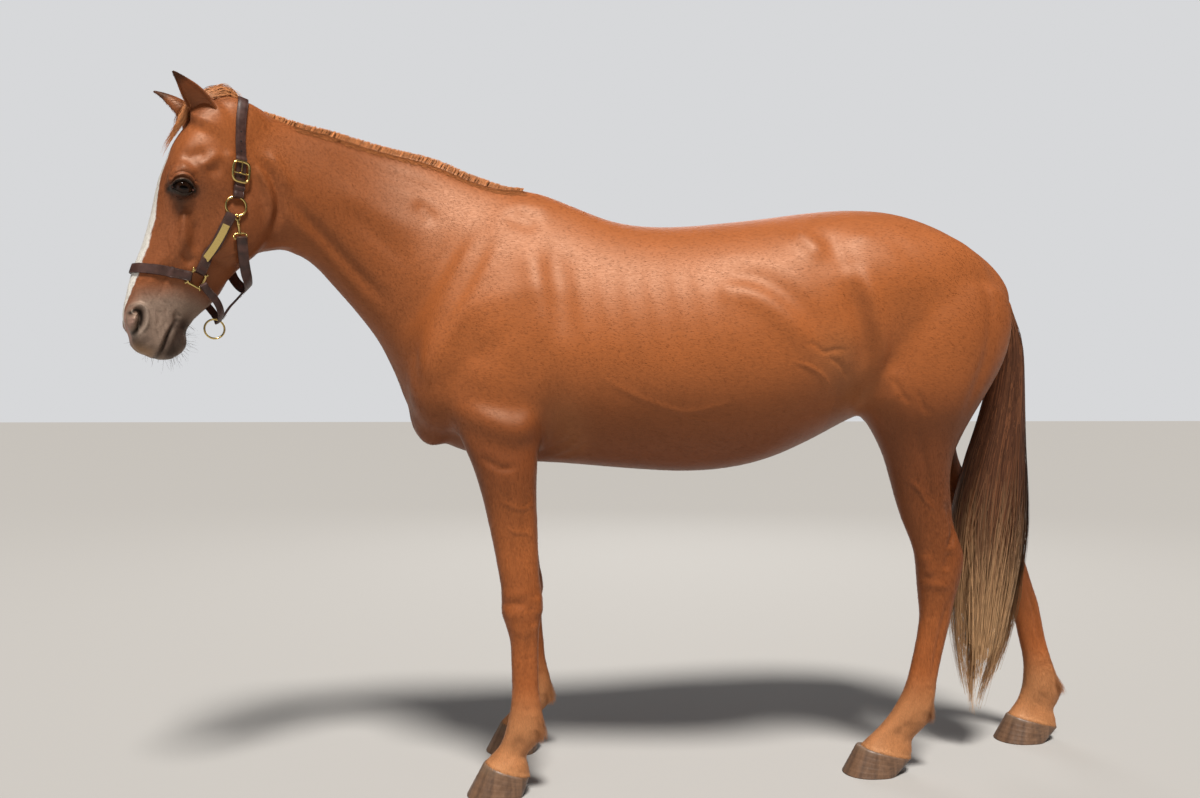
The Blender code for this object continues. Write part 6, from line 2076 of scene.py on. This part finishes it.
def add_light(kind, name, direction, **settings):
    """A lamp that shines in a direction."""
    data = bpy.data.lights.new(name, kind)
    for what, value in settings.items():
        setattr(data, what, value)
    lamp = bpy.data.objects.new(name, data)
    lamp.rotation_euler = direction.to_track_quat("-Z", "Y").to_euler()
    bpy.context.scene.collection.objects.link(lamp)
    return lamp


def build_stage():
    """Pale floor, soft light and the camera."""
    scene = bpy.context.scene
    bpy.ops.mesh.primitive_plane_add(size=FLOOR_SIZE)
    floor = bpy.context.object
    floor.name = "floor"
    floor.data.materials.append(new_material("floor", 0.85, FLOOR_GREY)[0])
    add_light("SUN", "key", Vector(SUN_DIRECTION), energy=SUN_POWER, angle=SUN_SPREAD,
              color=SUN_COLOUR)
    for name, (place, size, power, colour) in LAMPS.items():
        lamp = add_light("AREA", name, Vector(LAMP_AIM) - Vector(place), shape="DISK", size=size,
                         energy=power, color=colour)
        lamp.location = place
    world = bpy.data.worlds.new("studio")
    world.use_nodes = True
    tree = world.node_tree
    seen = add_node(tree, "LightPath", "Is Camera Ray")
    set_inputs(tree, tree.nodes["Background"], {
        "Color": SKY_COLOUR, "Strength": remap(tree, seen, SKY_LIGHT, SKY_SEEN, 0.0, 1.0)})
    scene.world = world
    scene.view_settings.view_transform = "Standard"
    data = bpy.data.cameras.new("camera")
    data.lens, data.sensor_width = CAMERA_LENS, CAMERA_SENSOR
    scene.camera = bpy.data.objects.new("camera", data)
    scene.camera.location = CAMERA_PLACE
    scene.camera.rotation_euler = [math.radians(angle) for angle in CAMERA_TURN]
    scene.collection.objects.link(scene.camera)


def skin_tree(mesh, straight, points, behind, above=-1.0, below=9.0):
    """The part of the skin ahead of a place and between two heights, to cast or look on."""
    faces = []
    for face in mesh.polygons:
        x, _, z = straight[face.vertices[0]]
        if x < behind and above < z < below:
            faces.append(tuple(face.vertices))
    return BVHTree.FromPolygons(points.tolist(), faces)


dice = np.random.default_rng(7)
coat, long_hair, horn, eye = coat_material(), hair_material(), horn_material(), eye_material()
leather, brass = leather_material(), brass_material()
thread = new_material("thread", 0.7, THREAD_BROWN)[0]
hole_shade = new_material("strap_hole_shade", 0.9, HOLE_SHADE)[0]
skin_mesh = build_skin()
flatten_into_hooves(skin_mesh)
straight = get_points(skin_mesh)
crest_tree = skin_tree(skin_mesh, straight, straight, -0.5, above=1.2)
build_coat(skin_mesh, coat, dice)
build_feelers(skin_mesh, long_hair, dice)
build_mane(long_hair, crest_tree, dice)
build_fringe(skin_mesh, long_hair, dice)
build_forelock(long_hair, crest_tree, dice)
build_tail(long_hair, dice)
map_mesh(skin_mesh, straight)
colour_points(skin_mesh, painted(straight))
bent = bend(straight)
head_tree = skin_tree(skin_mesh, straight, bent, -1.2, below=1.76)
set_points(skin_mesh, bent)
add_piece("skin", skin_mesh, coat, FLESH)
build_hooves(horn)
build_eyes(eye)
build_corners(eye)
build_halter(head_tree, leather, brass, thread, hole_shade)
build_stage()
